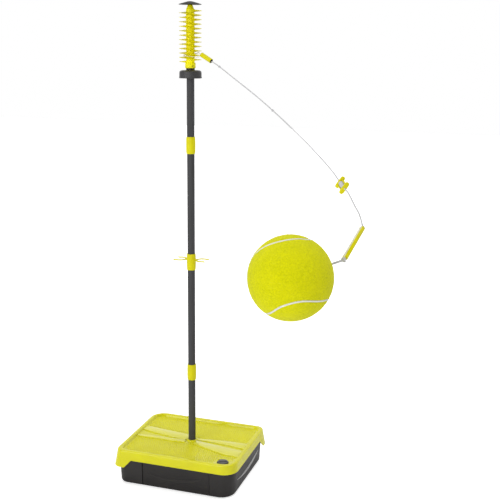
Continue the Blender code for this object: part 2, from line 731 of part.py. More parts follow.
def build_adjuster():
    """The length adjuster: two end bars joined by two rails, with the spare cord wound between."""
    length = (ADJUSTER_END - ADJUSTER_TOP).length
    middle = (ADJUSTER_END + ADJUSTER_TOP) / 2
    turn = adjuster_turn()
    bar = 0.0045
    rail_at = 0.0087
    frame = block("adjuster", (0.032, 0.0090, bar), middle + turn @ (UP * (length - bar) / 2), turn,
                  PARTS, YELLOW, round_by=0.0018)
    frame = baked(frame)
    other = block("end_bar", (0.032, 0.0090, bar), middle - turn @ (UP * (length - bar) / 2), turn,
                  round_by=0.0018)
    combine(frame, other, "UNION")
    for side in (-1, 1):
        rail = block("rail", (0.0036, 0.0052, length - bar), middle + turn @ Vector((side * rail_at, 0, 0)),
                     turn)
        combine(frame, rail, "UNION")
    inside = (length - 2 * bar) / 2 - GAP
    winding = turned("cord_winding", [
        (0, inside), (0.0056, inside), (0.0065, inside - 0.0010), (0.0065, 0.0010 - inside),
        (0.0056, -inside), (0, -inside)], CORD, sides=16, at=middle, turn=turn)
    return frame, winding


def end_knot_centre():
    axis = (SLEEVE_END - SLEEVE_TOP).normalized()
    return SLEEVE_END + axis * 0.0052


def build_sleeve():
    axis = (SLEEVE_END - SLEEVE_TOP).normalized()
    length = (SLEEVE_END - SLEEVE_TOP).length
    outer = SLEEVE_DIAMETER / 2
    bore = SLEEVE_BORE / 2
    sleeve = turned("tether_sleeve", [
        (bore, length), (outer - 0.0005, length), (outer, length - 0.0005), (outer, 0.0015),
        (outer - 0.0005, 0.0010), (bore, 0.0010)], YELLOW, closed=True, at=SLEEVE_TOP,
        turn=along(axis))
    inner = [SLEEVE_TOP + axis * 0.0043, end_knot_centre() - axis * 0.0068]
    cord = tube("inner_cord", smooth_route(inner, 0.02), CORD_DIAMETER, CORD)
    knot = ball("end_knot", END_KNOT_RADIUS, end_knot_centre(), CORD)
    return sleeve, cord, knot


# ---------------------------------------------------------------- ball
def ball_shell(name, radius, thickness, hole, finish):
    """A hollow ball with a hole towards the tether."""
    shell = ball(name, radius, BALL_CENTRE, finish, segments=BALL_SIDES, rings=BALL_RINGS)
    hollow = ball(name + "_hollow", radius - thickness, BALL_CENTRE, None, CUTTERS, BALL_SIDES,
                  BALL_RINGS)
    combine(shell, hollow, "DIFFERENCE")
    towards = (end_knot_centre() - BALL_CENTRE).normalized()
    bore = rod(name + "_hole", hole, 0.04, BALL_CENTRE + towards * radius, along(towards), sides=16)
    combine(shell, bore, "DIFFERENCE")
    return shell


def build_ball():
    radius = BALL_DIAMETER / 2
    core_radius = radius - FELT_THICKNESS - GAP
    felt = ball_shell("ball_felt", radius, FELT_THICKNESS, 0.0066, FELT)
    core = ball_shell("ball_core", core_radius, RUBBER_THICKNESS, 0.0066, RUBBER)
    towards = (end_knot_centre() - BALL_CENTRE).normalized()
    turn = along(towards)
    flat_side_sag = core_radius * (1 - math.cos(math.pi / BALL_SIDES)) * 2
    inner_top = core_radius - RUBBER_THICKNESS - flat_side_sag - GAP
    grommet = turned("ball_grommet", [
        (0.0031, radius + 0.0022), (0.0075, radius + 0.0018), (0.0085, radius + 0.0004),
        (0.0062, radius + 0.0004), (0.0062, inner_top), (0.0085, inner_top),
        (0.0085, inner_top - 0.0020), (0.0031, inner_top - 0.0020)], RUBBER, closed=True, sides=16,
        at=BALL_CENTRE, turn=turn)
    tail_end = inner_top - 0.0060
    tail_route = [end_knot_centre() - towards * (END_KNOT_RADIUS + GAP),
                  BALL_CENTRE + towards * tail_end]
    tail = tube("ball_tail", smooth_route(tail_route, 0.01), 0.0054, CORD)
    stop = turned("ball_stop", [
        (0, tail_end - GAP), (0.0080, tail_end - GAP), (0.0080, tail_end - 0.0040),
        (0, tail_end - 0.0040)], CORD, sides=16, at=BALL_CENTRE, turn=turn)
    return [felt, core, grommet, tail, stop]


# ---------------------------------------------------------------- assembly
def pivot(name, at, carried_by, objects):
    """An empty at a moving body's pivot, with the body's pieces parented to it."""
    empty = bpy.data.objects.new(name, None)
    PARTS.objects.link(empty)
    empty.location = at
    bpy.context.view_layer.update()
    if carried_by is not None:
        empty.parent = carried_by
        empty.matrix_parent_inverse = carried_by.matrix_world.inverted()
    bpy.context.view_layer.update()
    for obj in objects:
        obj.parent = empty
        obj.matrix_parent_inverse = empty.matrix_world.inverted()
    return empty


def build_all():
    base = pivot("base", (0, 0, 0), None,
                 [build_tub(), build_pole_socket(), *build_socket_screws()])
    neck, plug = build_filler()
    lid = pivot("lid", (0, 0, TRAY_TOP), base, [build_lid()] + neck)
    pivot("plug", FILLER_AT + UP * TRAY_TOP, lid, plug)
    sections, collars = build_pole()
    clips = [build_bat_clip("bat_clip_left", -1), build_bat_clip("bat_clip_right", 1)]
    lower = pivot("pole_lower", (0, 0, POLE_FOOT), base, [sections[0], collars[0]])
    middle = pivot("pole_middle", (0, 0, collar_z(0)), lower, [sections[1], collars[1]] + clips)
    upper = pivot("pole_upper", (0, 0, collar_z(1)), middle, [sections[2], collars[2]])
    head = [sections[3], build_guard(), build_neck_bush(), build_helix(), build_cap(),
            build_guard_pin(sections[3]), *build_snap_button(sections[3])]
    top = pivot("pole_head", (0, 0, collar_z(2)), upper, head)
    loop = pivot("loop", (0, 0, FERRULE_TOP.z), top, [build_wire_loop(), *build_ferrule()])
    bead = ball("swivel_bead", 0.0030, bead_centre(), STEEL, segments=12, rings=8)
    upper_cord, knots = build_upper_cord()
    joint_knot = ball("sleeve_knot", 0.0040, SLEEVE_TOP, CORD, segments=12, rings=8)
    cords = [bead, upper_cord, *knots, *build_adjuster(), build_lower_cord(), joint_knot]
    tether = pivot("tether", bead_centre(), loop, cords)
    sleeve = pivot("sleeve", SLEEVE_TOP, tether, build_sleeve())
    pivot("ball", end_knot_centre(), sleeve, build_ball())


build_all()
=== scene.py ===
"""Looks of the tetherball set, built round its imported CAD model.

Everything is in metres in the CAD model's frame: +Z is up, the pole stands on the Z axis, and the
ground is at 0. The sections follow the set from the camera and the cords to the ground.
"""

import math

import bmesh
import bpy
import numpy as np
from mathutils import Matrix, Vector


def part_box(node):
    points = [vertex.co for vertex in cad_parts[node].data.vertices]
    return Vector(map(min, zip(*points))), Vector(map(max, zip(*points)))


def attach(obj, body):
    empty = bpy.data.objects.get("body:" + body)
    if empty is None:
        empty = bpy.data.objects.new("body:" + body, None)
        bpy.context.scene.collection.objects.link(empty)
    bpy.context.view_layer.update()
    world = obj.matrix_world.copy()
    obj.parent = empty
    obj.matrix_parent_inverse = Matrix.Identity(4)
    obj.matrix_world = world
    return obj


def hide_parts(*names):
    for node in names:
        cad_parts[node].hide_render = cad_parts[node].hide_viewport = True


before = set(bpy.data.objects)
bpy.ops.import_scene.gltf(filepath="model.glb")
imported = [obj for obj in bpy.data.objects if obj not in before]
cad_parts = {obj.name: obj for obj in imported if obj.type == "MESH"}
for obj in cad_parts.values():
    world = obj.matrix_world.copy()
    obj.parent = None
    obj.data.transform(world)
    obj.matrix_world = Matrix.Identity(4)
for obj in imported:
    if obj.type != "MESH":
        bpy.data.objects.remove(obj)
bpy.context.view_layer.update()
UP = Vector((0, 0, 1))
SHARP_DEG = 32          # an edge that turns by more than this is drawn sharp
CORD_SHARP_DEG = 60
BRAID = 0.16            # how deep the valleys between a cord's strands are, as a share
BRAID_STEP = 0.0009


# ---------------------------------------------------------------- materials
def node(tree, kind, inputs=None, **settings):
    """A shader node with its settings, and with its inputs set to values or linked to sockets."""
    made = tree.nodes.new(kind)
    for name, value in settings.items():
        setattr(made, name, value)
    for name, value in (inputs or {}).items():
        if isinstance(value, bpy.types.NodeSocket):
            tree.links.new(value, made.inputs[name])
        else:
            made.inputs[name].default_value = value
    return made


def noise(tree, where, scale, detail=3.0, roughness=0.55, distortion=0.0):
    inputs = {"Vector": where, "Scale": scale, "Detail": detail, "Roughness": roughness,
              "Distortion": distortion}
    return node(tree, "ShaderNodeTexNoise", inputs).outputs["Fac"]


def remap(tree, value, low, high, out_low, out_high):
    inputs = {"Value": value, "From Min": low, "From Max": high, "To Min": out_low,
              "To Max": out_high}
    return node(tree, "ShaderNodeMapRange", inputs).outputs["Result"]


def blend_colours(tree, share, first, second):
    mix = node(tree, "ShaderNodeMix", data_type="RGBA")
    for socket, value in ((mix.inputs[0], share), (mix.inputs[6], first), (mix.inputs[7], second)):
        if isinstance(value, bpy.types.NodeSocket):
            tree.links.new(value, socket)
        elif isinstance(value, tuple):
            socket.default_value = (*value, 1.0)
        else:
            socket.default_value = value
    return mix.outputs[2]


def edge_share(tree, radius, strength):
    """How much of an edge is near, from 0 on flat surfaces, by comparing with a rounded normal."""
    rounded = node(tree, "ShaderNodeBevel", {"Radius": radius}, samples=6).outputs["Normal"]
    flat = node(tree, "ShaderNodeNewGeometry").outputs["Normal"]
    dot = node(tree, "ShaderNodeVectorMath", {0: rounded, 1: flat}, operation="DOT_PRODUCT")
    return remap(tree, dot.outputs["Value"], 1.0, 0.8, 0.0, strength)


def blank(name, roughness, metallic=0.0, **sockets):
    """A new material: its tree, its shader, and the position on the piece."""
    made = bpy.data.materials.new(name)
    made.use_nodes = True
    tree = made.node_tree
    shader = tree.nodes["Principled BSDF"]
    shader.inputs["Roughness"].default_value = roughness
    shader.inputs["Metallic"].default_value = metallic
    for socket, value in sockets.items():
        shader.inputs[socket.replace("_", " ")].default_value = value
    where = node(tree, "ShaderNodeTexCoord").outputs["Object"]
    return made, tree, shader, where


def dress(tree, shader, colour, height, distance, gloss=None):
    """Gives a shader its colour, its bump and, where it varies, its roughness."""
    tree.links.new(colour, shader.inputs["Base Color"])
    if gloss is not None:
        tree.links.new(gloss, shader.inputs["Roughness"])
    bump = node(tree, "ShaderNodeBump", {"Height": height, "Distance": distance, "Strength": 1.0})
    tree.links.new(bump.outputs["Normal"], shader.inputs["Normal"])


def moulded_plastic(name, light, dark, roughness, grain_size, grain_depth, worn, wear=0.35,
                    specular=0.5, coat=0.0):
    """Moulded plastic: slow colour drift, fine grain, uneven gloss, and edges rubbed lighter."""
    made, tree, shader, where = blank(name, roughness, Specular_IOR_Level=specular,
                                      Coat_Weight=coat, Coat_Roughness=0.12)
    drift = remap(tree, noise(tree, where, 14.0, 4.0), 0.35, 0.65, 0.0, 1.0)
    base = blend_colours(tree, drift, light, dark)
    rubbed = edge_share(tree, 0.0012, wear)
    cloud = noise(tree, where, 55.0, 5.0)
    gloss = remap(tree, cloud, 0.3, 0.7, roughness - 0.04, roughness + 0.05)
    dress(tree, shader, blend_colours(tree, rubbed, base, worn),
          noise(tree, where, 1.0 / grain_size, 3.0), grain_depth, gloss)
    return made


def painted_steel():
    """Powder-coated tube: fine orange peel, faint rubbed marks along its length."""
    made, tree, shader, where = blank("pole_paint", 0.5, Specular_IOR_Level=0.16)
    stretched = node(tree, "ShaderNodeMapping", {"Vector": where, "Scale": (60.0, 60.0, 5.0)})
    streaks = noise(tree, stretched.outputs["Vector"], 1.0, 5.0, 0.6)
    share = remap(tree, streaks, 0.38, 0.68, 0.0, 1.0)
    base = blend_colours(tree, share, (0.064, 0.064, 0.069), (0.052, 0.052, 0.052))
    rubbed = edge_share(tree, 0.001, 0.5)
    gloss = remap(tree, streaks, 0.3, 0.7, 0.45, 0.56)
    dress(tree, shader, blend_colours(tree, rubbed, base, (0.24, 0.24, 0.24)),
          noise(tree, where, 900.0, 2.0), 0.00006, gloss)
    return made


def bare_steel(name, colour, roughness):
    """Drawn wire or turned steel: lines along and round it, and a faint tarnish."""
    made, tree, shader, where = blank(name, roughness, 1.0)
    fine = noise(tree, where, 1300.0, 2.0)
    tarnish = remap(tree, noise(tree, where, 160.0, 4.0), 0.4, 0.75, 0.0, 0.55)
    darker = tuple(0.62 * value for value in colour)
    gloss = remap(tree, fine, 0.3, 0.7, roughness - 0.05, roughness + 0.1)
    dress(tree, shader, blend_colours(tree, tarnish, colour, darker), fine, 0.00003, gloss)
    return made


def braided_cord(name, valley_shade, crown):
    """Braided cord: pale crests, painted shade greyer between the strands, and a little grime."""
    made, tree, shader, where = blank(name, 0.75, Sheen_Weight=0.25, Sheen_Roughness=0.4)
    crest = node(tree, "ShaderNodeAttribute", attribute_name="crest").outputs["Fac"]
    # painted shade: the colour goes to the darker valley colour where the strands dip, by their
    # height
    strands = blend_colours(tree, crest, valley_shade, crown)
    grime = remap(tree, noise(tree, where, 70.0, 4.0), 0.52, 0.75, 0.0, 0.35)
    dress(tree, shader, blend_colours(tree, grime, strands, (0.34, 0.33, 0.3)),
          noise(tree, where, 2600.0, 2.0), 0.00008)
    return made


def felt_cloth():
    """Needled felt: tufts and stray fibres in two yellows, matt with a soft sheen."""
    made, tree, shader, where = blank("felt", 0.95, Sheen_Weight=0.06, Sheen_Roughness=0.5,
                                      Specular_IOR_Level=0.06)
    tufts = noise(tree, where, 260.0, 6.0, 0.7, 0.6)
    patches = noise(tree, where, 24.0, 4.0)
    brushed = node(tree, "ShaderNodeMapping", {"Vector": where, "Scale": (90.0, 520.0, 420.0),
                                              "Rotation": (0.4, 0.2, 0.5)})
    fibres = noise(tree, brushed.outputs["Vector"], 1.0, 5.0, 0.65, 0.4)
    body = blend_colours(tree, remap(tree, tufts, 0.35, 0.65, 0.0, 1.0),
                         (0.56, 0.57, 0.001), (0.78, 0.77, 0.004))
    body = blend_colours(tree, remap(tree, patches, 0.4, 0.7, 0.0, 0.45), body, (0.74, 0.72, 0.003))
    body = blend_colours(tree, remap(tree, fibres, 0.56, 0.72, 0.0, 0.45), body, (0.84, 0.84, 0.06))
    height = node(tree, "ShaderNodeMath", {0: tufts, 1: fibres}, operation="ADD").outputs["Value"]
    dress(tree, shader, body, height, 0.0011)
    return made


def rubber(name, colour, roughness=0.7):
    made, tree, shader, where = blank(name, roughness, Specular_IOR_Level=0.35)
    grime = remap(tree, noise(tree, where, 90.0, 5.0), 0.4, 0.75, 0.0, 0.5)
    dirty = tuple(0.72 * value for value in colour)
    dress(tree, shader, blend_colours(tree, grime, colour, dirty),
          noise(tree, where, 800.0, 3.0), 0.00008)
    return made


YELLOW = moulded_plastic("yellow_plastic", (0.72, 0.665, 0.001), (0.66, 0.6, 0.002), 0.33, 0.0011,
                         0.00001, (0.8, 0.76, 0.03), 0.15, 0.2)
# a brighter copy of the yellow plastic: painted light, so the core looks evenly lit between the
# fins that shade it
SPIRAL_YELLOW_PAINTED_LIGHT = moulded_plastic("spiral_yellow_painted_light", (0.92, 0.85, 0.002), (0.86, 0.79, 0.003),
                                0.4, 0.0011, 0.00001, (0.95, 0.89, 0.05), 0.1, 0.2)
# a paler, whiter copy of the lid yellow: painted reflection of the bright studio on the pad tops
PAD_YELLOW_PAINTED_REFLECTION = moulded_plastic("lid_pad_painted_reflection", (0.76, 0.735, 0.06), (0.73, 0.7, 0.04), 0.15,
                             0.0016, 0.00002, (0.86, 0.84, 0.2), 0.3, 0.5, 0.3)
LID_YELLOW = moulded_plastic("lid_yellow_plastic", (0.72, 0.69, 0.001), (0.68, 0.645, 0.002), 0.15,
                             0.0016, 0.00002, (0.8, 0.77, 0.04), 0.25, 0.38, 0.12)
TREAD_YELLOW = moulded_plastic("lid_tread_plastic", (0.72, 0.69, 0.001), (0.68, 0.645, 0.002), 0.4,
                               0.001, 0.00003, (0.86, 0.84, 0.22), 0.4, 0.4)
BLACK = moulded_plastic("black_plastic", (0.024, 0.022, 0.021), (0.018, 0.017, 0.016), 0.45, 0.0007,
                        0.00006, (0.12, 0.115, 0.11), 0.4, 0.3)
CAP_BLACK = moulded_plastic("cap_plastic", (0.02, 0.019, 0.014), (0.014, 0.014, 0.011), 0.5, 0.0009,
                            0.00005, (0.1, 0.1, 0.08), 0.35, 0.16)
TUB_BLACK = moulded_plastic("tub_plastic", (0.022, 0.0195, 0.0185), (0.017, 0.015, 0.0145), 0.42,
                            0.0012, 0.0001, (0.1, 0.095, 0.09), 0.4, 0.35)
GUARD_GREY = moulded_plastic("guard_plastic", (0.054, 0.053, 0.056), (0.04, 0.039, 0.039), 0.42,
                             0.0008, 0.00006, (0.18, 0.18, 0.18), 0.4, 0.3)
# a lighter copy of the guard grey: painted reflection standing in for the glossy plug's shine
PLUG_GREY_PAINTED_REFLECTION = moulded_plastic("plug_painted_reflection", (0.08, 0.08, 0.082), (0.062, 0.062, 0.062), 0.3,
                            0.0008, 0.00005, (0.26, 0.26, 0.26), 0.4, 0.5)
# pale grey on the dark tub: a painted reflection of light on the raised bands at the tub's ends
STRIPE_PAINTED_REFLECTION = moulded_plastic("stripe_painted_reflection", (0.44, 0.44, 0.43), (0.36, 0.36, 0.35), 0.35,
                              0.001, 0.00005, (0.6, 0.6, 0.59), 0.3)
POLE_PAINT = painted_steel()
STEEL = bare_steel("steel", (0.86, 0.85, 0.81), 0.38)
DARK_STEEL = bare_steel("dark_steel", (0.1, 0.095, 0.09), 0.4)
# each cord's first colour is painted shade for the valleys between its strands, its second the
# crests
CORD = braided_cord("braided_cord", (0.3, 0.3, 0.31), (0.6, 0.595, 0.61))
PALE_CORD = braided_cord("pale_braided_cord", (0.52, 0.5, 0.4), (0.84, 0.82, 0.68))
FELT = felt_cloth()
SEAM_RUBBER = rubber("seam_rubber", (0.8, 0.8, 0.78), 0.6)
BLACK_RUBBER = rubber("black_rubber", (0.03, 0.03, 0.03), 0.75)


# ---------------------------------------------------------------- making pieces
def piece(name, mesh, finish, body, nodes=(), sharp=SHARP_DEG):
    """A finished piece: smooth between its sharp edges, riding on its body, for its CAD nodes."""
    mesh.materials.append(finish)
    mesh.shade_smooth()
    mesh.set_sharp_from_angle(angle=math.radians(sharp))
    obj = bpy.data.objects.new(name, mesh)
    bpy.context.scene.collection.objects.link(obj)
    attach(obj, body)
    if nodes:
        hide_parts(*nodes)
    return obj


def mesh_of(bm, name, place=None):
    """The finished mesh, moved to its place, with its faces turned outwards."""
    if place is not None:
        bm.transform(place)
    bmesh.ops.recalc_face_normals(bm, faces=bm.faces)
    mesh = bpy.data.meshes.new(name)
    bm.to_mesh(mesh)
    bm.free()
    return mesh


def bridge(bm, rows, loop=False, capped=True):
    """Faces from each row of vertices to the next, and over the first and last row."""
    pairs = list(zip(rows, rows[1:]))
    if loop:
        pairs.append((rows[-1], rows[0]))
    for low, high in pairs:
        for i in range(len(low)):
            j = (i + 1) % len(low)
            bm.faces.new((low[i], low[j], high[j], high[i]))
    if capped:
        bm.faces.new(rows[0][::-1])
        bm.faces.new(rows[-1])


def fill_band(bm, row):
    """Faces across a row whose second half runs back beside its first half."""
    last = len(row) - 1
    for i in range(len(row) // 2 - 1):
        bm.faces.new((row[i], row[i + 1], row[last - 1 - i], row[last - i]))


def join(bm, mesh):
    bm.from_mesh(mesh)
    bpy.data.meshes.remove(mesh)


def along(direction, at=(0, 0, 0)):
    """The placement that turns +Z to the direction and moves the origin to a point."""
    turn = UP.rotation_difference(Vector(direction).normalized()).to_matrix().to_4x4()
    return Matrix.Translation(at) @ turn


def eased(points, radius, closed=False, steps=3):
    """The outline with each corner rounded off by up to a radius."""
    points = [Vector(p) for p in points]
    count = len(points)
    result = []
    for i, corner in enumerate(points):
        if not closed and i in (0, count - 1):
            result.append(corner)
            continue
        before = points[i - 1] - corner
        after = points[(i + 1) % count] - corner
        if before.length < 1e-9 or after.length < 1e-9:
            result.append(corner)
            continue
        start = corner + before.normalized() * min(radius, before.length * 0.45)
        end = corner + after.normalized() * min(radius, after.length * 0.45)
        for step in range(steps + 1):
            t = step / steps
            result.append(start * (1 - t) ** 2 + corner * 2 * t * (1 - t) + end * t * t)
    return result


def lathe(name, profile, place=None, sides=96, closed=False, ease=0.0004):
    """A mesh turned about Z from a profile of (radius, height), with its corners eased."""
    bm = bmesh.new()
    rows = []
    for radius, height in [tuple(p) for p in eased(profile, ease, closed)]:
        if radius < 1e-6:
            rows.append([bm.verts.new((0, 0, height))])
            continue
        angles = [2 * math.pi * i / sides for i in range(sides)]
        rows.append([bm.verts.new((radius * math.cos(a), radius * math.sin(a), height))
                     for a in angles])
    pairs = list(zip(rows, rows[1:]))
    if closed:
        pairs.append((rows[-1], rows[0]))
    for low, high in pairs:
        for i in range(sides):
            j = (i + 1) % sides
            corners = [low[i % len(low)], low[j % len(low)], high[j % len(high)],
                       high[i % len(high)]]
            corners = list(dict.fromkeys(corners))
            if len(corners) > 2:
                bm.faces.new(corners)
    return mesh_of(bm, name, place)


def turned(name, profile, finish, body, nodes, place=None, sides=96, closed=False, ease=0.0004):
    """A piece turned from a profile, for its CAD nodes."""
    return piece(name, lathe(name, profile, place, sides, closed, ease), finish, body, nodes)


def carried_frames(points, loop=False):
    """For each point of a path: its tangent and two directions across it that don't twist."""
    count = len(points)
    frames = []
    across = None
    for i in range(count):
        if loop:
            tangent = (points[(i + 1) % count] - points[i - 1]).normalized()
        else:
            tangent = (points[min(i + 1, count - 1)] - points[max(i - 1, 0)]).normalized()
        if across is None:
            helper = UP if abs(tangent.z) < 0.9 else Vector((1, 0, 0))
            across = tangent.cross(helper).normalized()
        across = (across - tangent * across.dot(tangent)).normalized()
        frames.append((tangent, across, tangent.cross(across)))
    return frames


def sweep(name, points, radius, sides=16, round_ends=True, loop=False, braid=0.0, squash=1.0):
    """A tube along a path. With braid, its surface rises and falls by that share, as strands do."""
    points = [Vector(p) for p in points]
    radii = [radius] * len(points)
    frames = carried_frames(points, loop)
    if round_ends and not loop:
        cap = [(1 - math.cos(t), math.sin(t)) for t in (0.05, 0.5, 1.0)]
        head = [points[0] - frames[0][0] * radius * (1 - back) for back, _ in cap]
        tail = [points[-1] + frames[-1][0] * radius * (1 - back) for back, _ in reversed(cap)]
        points = head + points + tail
        radii = [radius * width for _, width in cap] + radii
        radii += [radius * width for _, width in reversed(cap)]
        frames = [frames[0]] * 3 + frames + [frames[-1]] * 3
    bm = bmesh.new()
    # crest: each point's height on the strands, also the mask for the painted shade in the cord's
    # colour
    crest = bm.verts.layers.float.new("crest")
    rows = []
    run = 0.0
    for i, (point, (_, across, up)) in enumerate(zip(points, frames)):
        if i:
            run += (point - points[i - 1]).length
        row = []
        for number in range(sides):
            angle = 2 * math.pi * number / sides
            height = 1.0
            if braid:
                turn = run / (radius * 5.2) * math.pi
                height = max(abs(math.sin(2 * angle + turn)), abs(math.sin(2 * angle - turn)))
            reach = radii[i] * (1 - braid * (1 - height))
            offset = across * (math.cos(angle) * reach) + up * (math.sin(angle) * reach * squash)
            vert = bm.verts.new(point + offset)
            vert[crest] = height
            row.append(vert)
        rows.append(row)
    bridge(bm, rows, loop, not loop)
    return mesh_of(bm, name)


def braided(name, points, radius, finish, body, nodes, sides=12, round_ends=False, loop=False):
    """A piece of braided cord along a path."""
    mesh = sweep(name, points, radius, sides, round_ends, loop, BRAID)
    return piece(name, mesh, finish, body, nodes, CORD_SHARP_DEG)


def smooth_route(points, spacing, loop=False):
    """Evenly spaced points on a smooth curve through the route's points."""
    knots = [Vector(p) for p in points]
    if loop:
        knots = [knots[-1]] + knots + [knots[0], knots[1]]
    else:
        knots = [2 * knots[0] - knots[1]] + knots + [2 * knots[-1] - knots[-2]]
    fine = []
    for a, b, c, d in zip(knots, knots[1:], knots[2:], knots[3:]):
        for step in range(40):
            t = step / 40
            fine.append(0.5 * (2 * b + (c - a) * t + (2 * a - 5 * b + 4 * c - d) * t * t
                               + (3 * b - a - 3 * c + d) * t ** 3))
    fine.append(knots[-2])
    lengths = [0.0]
    for first, second in zip(fine, fine[1:]):
        lengths.append(lengths[-1] + (second - first).length)
    count = max(2, round(lengths[-1] / spacing))
    even = [fine[0]]
    index = 0
    for number in range(1, count):
        wanted = lengths[-1] * number / count
        while lengths[index + 1] < wanted:
            index += 1
        share = (wanted - lengths[index]) / (lengths[index + 1] - lengths[index])
        even.append(fine[index].lerp(fine[index + 1], share))
    return even if loop else even + [fine[-1]]


def prism(name, outline, low, high, place=None, ease=0.001, taper=0.0):
    """An upright plate over a flat outline, its top edge rounded and its walls leaning in."""
    corners = eased([Vector((x, y, 0)) for x, y in outline], 0.006, True, 4)
    middle = sum(corners, Vector()) / len(corners)
    levels = [(low, 0.0), (high - ease, taper), (high - 0.3 * ease, taper + 0.3 * ease),
              (high, taper + ease)]
    bm = bmesh.new()
    rows = []
    for height, inset in levels:
        row = []
        for i, corner in enumerate(corners):
            edge = corners[(i + 1) % len(corners)] - corners[i - 1]
            inwards = Vector((-edge.y, edge.x, 0)).normalized()
            if inwards.dot(middle - corner) < 0:
                inwards = -inwards
            spot = corner + inwards * inset
            row.append(bm.verts.new((spot.x, spot.y, height)))
        rows.append(row)
    bridge(bm, rows)
    return mesh_of(bm, name, place)


def oblong(left, right, half_depth):
    return [(left, -half_depth), (right, -half_depth), (right, half_depth), (left, half_depth)]


def pillow(name, half, place, square=0.55, columns=36, rows=18):
    """A block with softly rounded sides: the half sizes are along X, Y and Z."""
    def eased_power(value):
        return math.copysign(abs(value) ** square, value)

    bm = bmesh.new()
    bmesh.ops.create_uvsphere(bm, u_segments=columns, v_segments=rows, radius=1.0)
    for vert in bm.verts:
        around = math.atan2(vert.co.y, vert.co.x)
        flat = math.hypot(vert.co.x, vert.co.y)
        reach = flat ** square if flat > 1e-6 else 0.0
        vert.co = Vector((half[0] * reach * eased_power(math.cos(around)),
                          half[1] * reach * eased_power(math.sin(around)),
                          half[2] * eased_power(vert.co.z)))
    return mesh_of(bm, name, place)


def cut(obj, mesh, name):
    """Cuts a hidden shape out of a piece, and applies it."""
    cutter = bpy.data.objects.new(name, mesh)
    bpy.context.scene.collection.objects.link(cutter)
    change = obj.modifiers.new(name, "BOOLEAN")
    change.operation = "DIFFERENCE"
    change.solver = "EXACT"
    change.object = cutter
    bpy.context.view_layer.update()
    graph = bpy.context.evaluated_depsgraph_get()
    result = bpy.data.meshes.new_from_object(obj.evaluated_get(graph))
    obj.modifiers.clear()
    obj.data = result
    result.shade_smooth()
    result.set_sharp_from_angle(angle=math.radians(SHARP_DEG))
    bpy.data.objects.remove(cutter, do_unlink=True)


def drill(obj, name, radius, reach, place, sides=64):
    """Cuts a round hole through a piece, to a reach on each side of a place."""
    hole = [(0, reach), (radius, reach), (radius, -reach), (0, -reach)]
    cut(obj, lathe(name, hole, place, sides, False, 0.0001), name)


# ---------------------------------------------------------------- camera
CAMERA_AT = Vector((1.1956, -3.0123, 1.6012))
CAMERA_LOOK = Vector((-0.29926, 0.92823, -0.22101))
CAMERA_ROLL = math.radians(0.5717)
CAMERA_LENS = 65.65     # mm, on a sensor 36 mm wide


def place_camera():
    camera = bpy.data.objects.new("camera", bpy.data.cameras.new("camera"))
    bpy.context.scene.collection.objects.link(camera)
    camera.data.sensor_width = 36.0
    camera.data.lens = CAMERA_LENS
    camera.rotation_mode = "QUATERNION"
    aim = CAMERA_LOOK.to_track_quat("-Z", "Y")
    roll = Matrix.Rotation(CAMERA_ROLL, 4, "Z").to_quaternion()
    camera.rotation_quaternion = aim @ roll
    camera.location = CAMERA_AT
    bpy.context.scene.camera = camera


place_camera()

# ---------------------------------------------------------------- tether
CORD_DIAMETER = 0.0038
FERRULE_TOP = Vector((0.047, -0.015, 1.562))
FERRULE_END = Vector((0.09, -0.03, 1.54))
FERRULE_AXIS = (FERRULE_END - FERRULE_TOP).normalized()
BEAD_AT = FERRULE_END + FERRULE_AXIS * 0.0034
UPPER_ROUTE = [
    (0.129, -0.059, 1.523), (0.21, -0.133, 1.486), (0.313, -0.238, 1.442), (0.403, -0.344, 1.404),
    (0.489, -0.457, 1.368), (0.585, -0.595, 1.329), (0.676, -0.74, 1.291),
]
ADJUSTER_TOP = Vector((0.72, -0.82, 1.27))
ADJUSTER_END = Vector((0.74, -0.857, 1.26))
ADJUSTER_CROSSWAYS = Vector((0.4, 0.33, 0.86))
LOWER_ROUTE = [(0.757, -0.888, 1.253), (0.783, -0.943, 1.236), (0.805, -0.99, 1.222)]
SLEEVE_TOP = Vector((0.823, -1.04, 1.205))
SLEEVE_END = Vector((0.798, -1.105, 1.146))
SLEEVE_AXIS = (SLEEVE_END - SLEEVE_TOP).normalized()
WOUND_RADIUS = 0.0017
WOUND_TURNS = 9


def length_of(points):
    return sum((second - first).length for first, second in zip(points, points[1:]))


def knot_path(turns, radius, place):
    """A closed path like an overhand knot drawn tight: it crosses itself three times."""
    path = []
    steps = 26 * turns
    for step in range(steps):
        t = 2 * math.pi * step / steps
        local = Vector((math.sin(t) + 2 * math.sin(2 * t), math.cos(t) - 2 * math.cos(2 * t),
                        -1.3 * math.sin(3 * t)))
        path.append(place @ (local * (radius / 3)))
    return path


def tight_knot(name, at, axis, outer, strand, body, nodes):
    path = knot_path(3, outer - strand, along(axis, at))
    return braided(name, path, strand, CORD, body, nodes, loop=True)


def nearest_on(points, place):
    best = min(range(1, len(points) - 1), key=lambda i: (points[i] - Vector(place)).length)
    return points[best], points[best + 1] - points[best - 1]


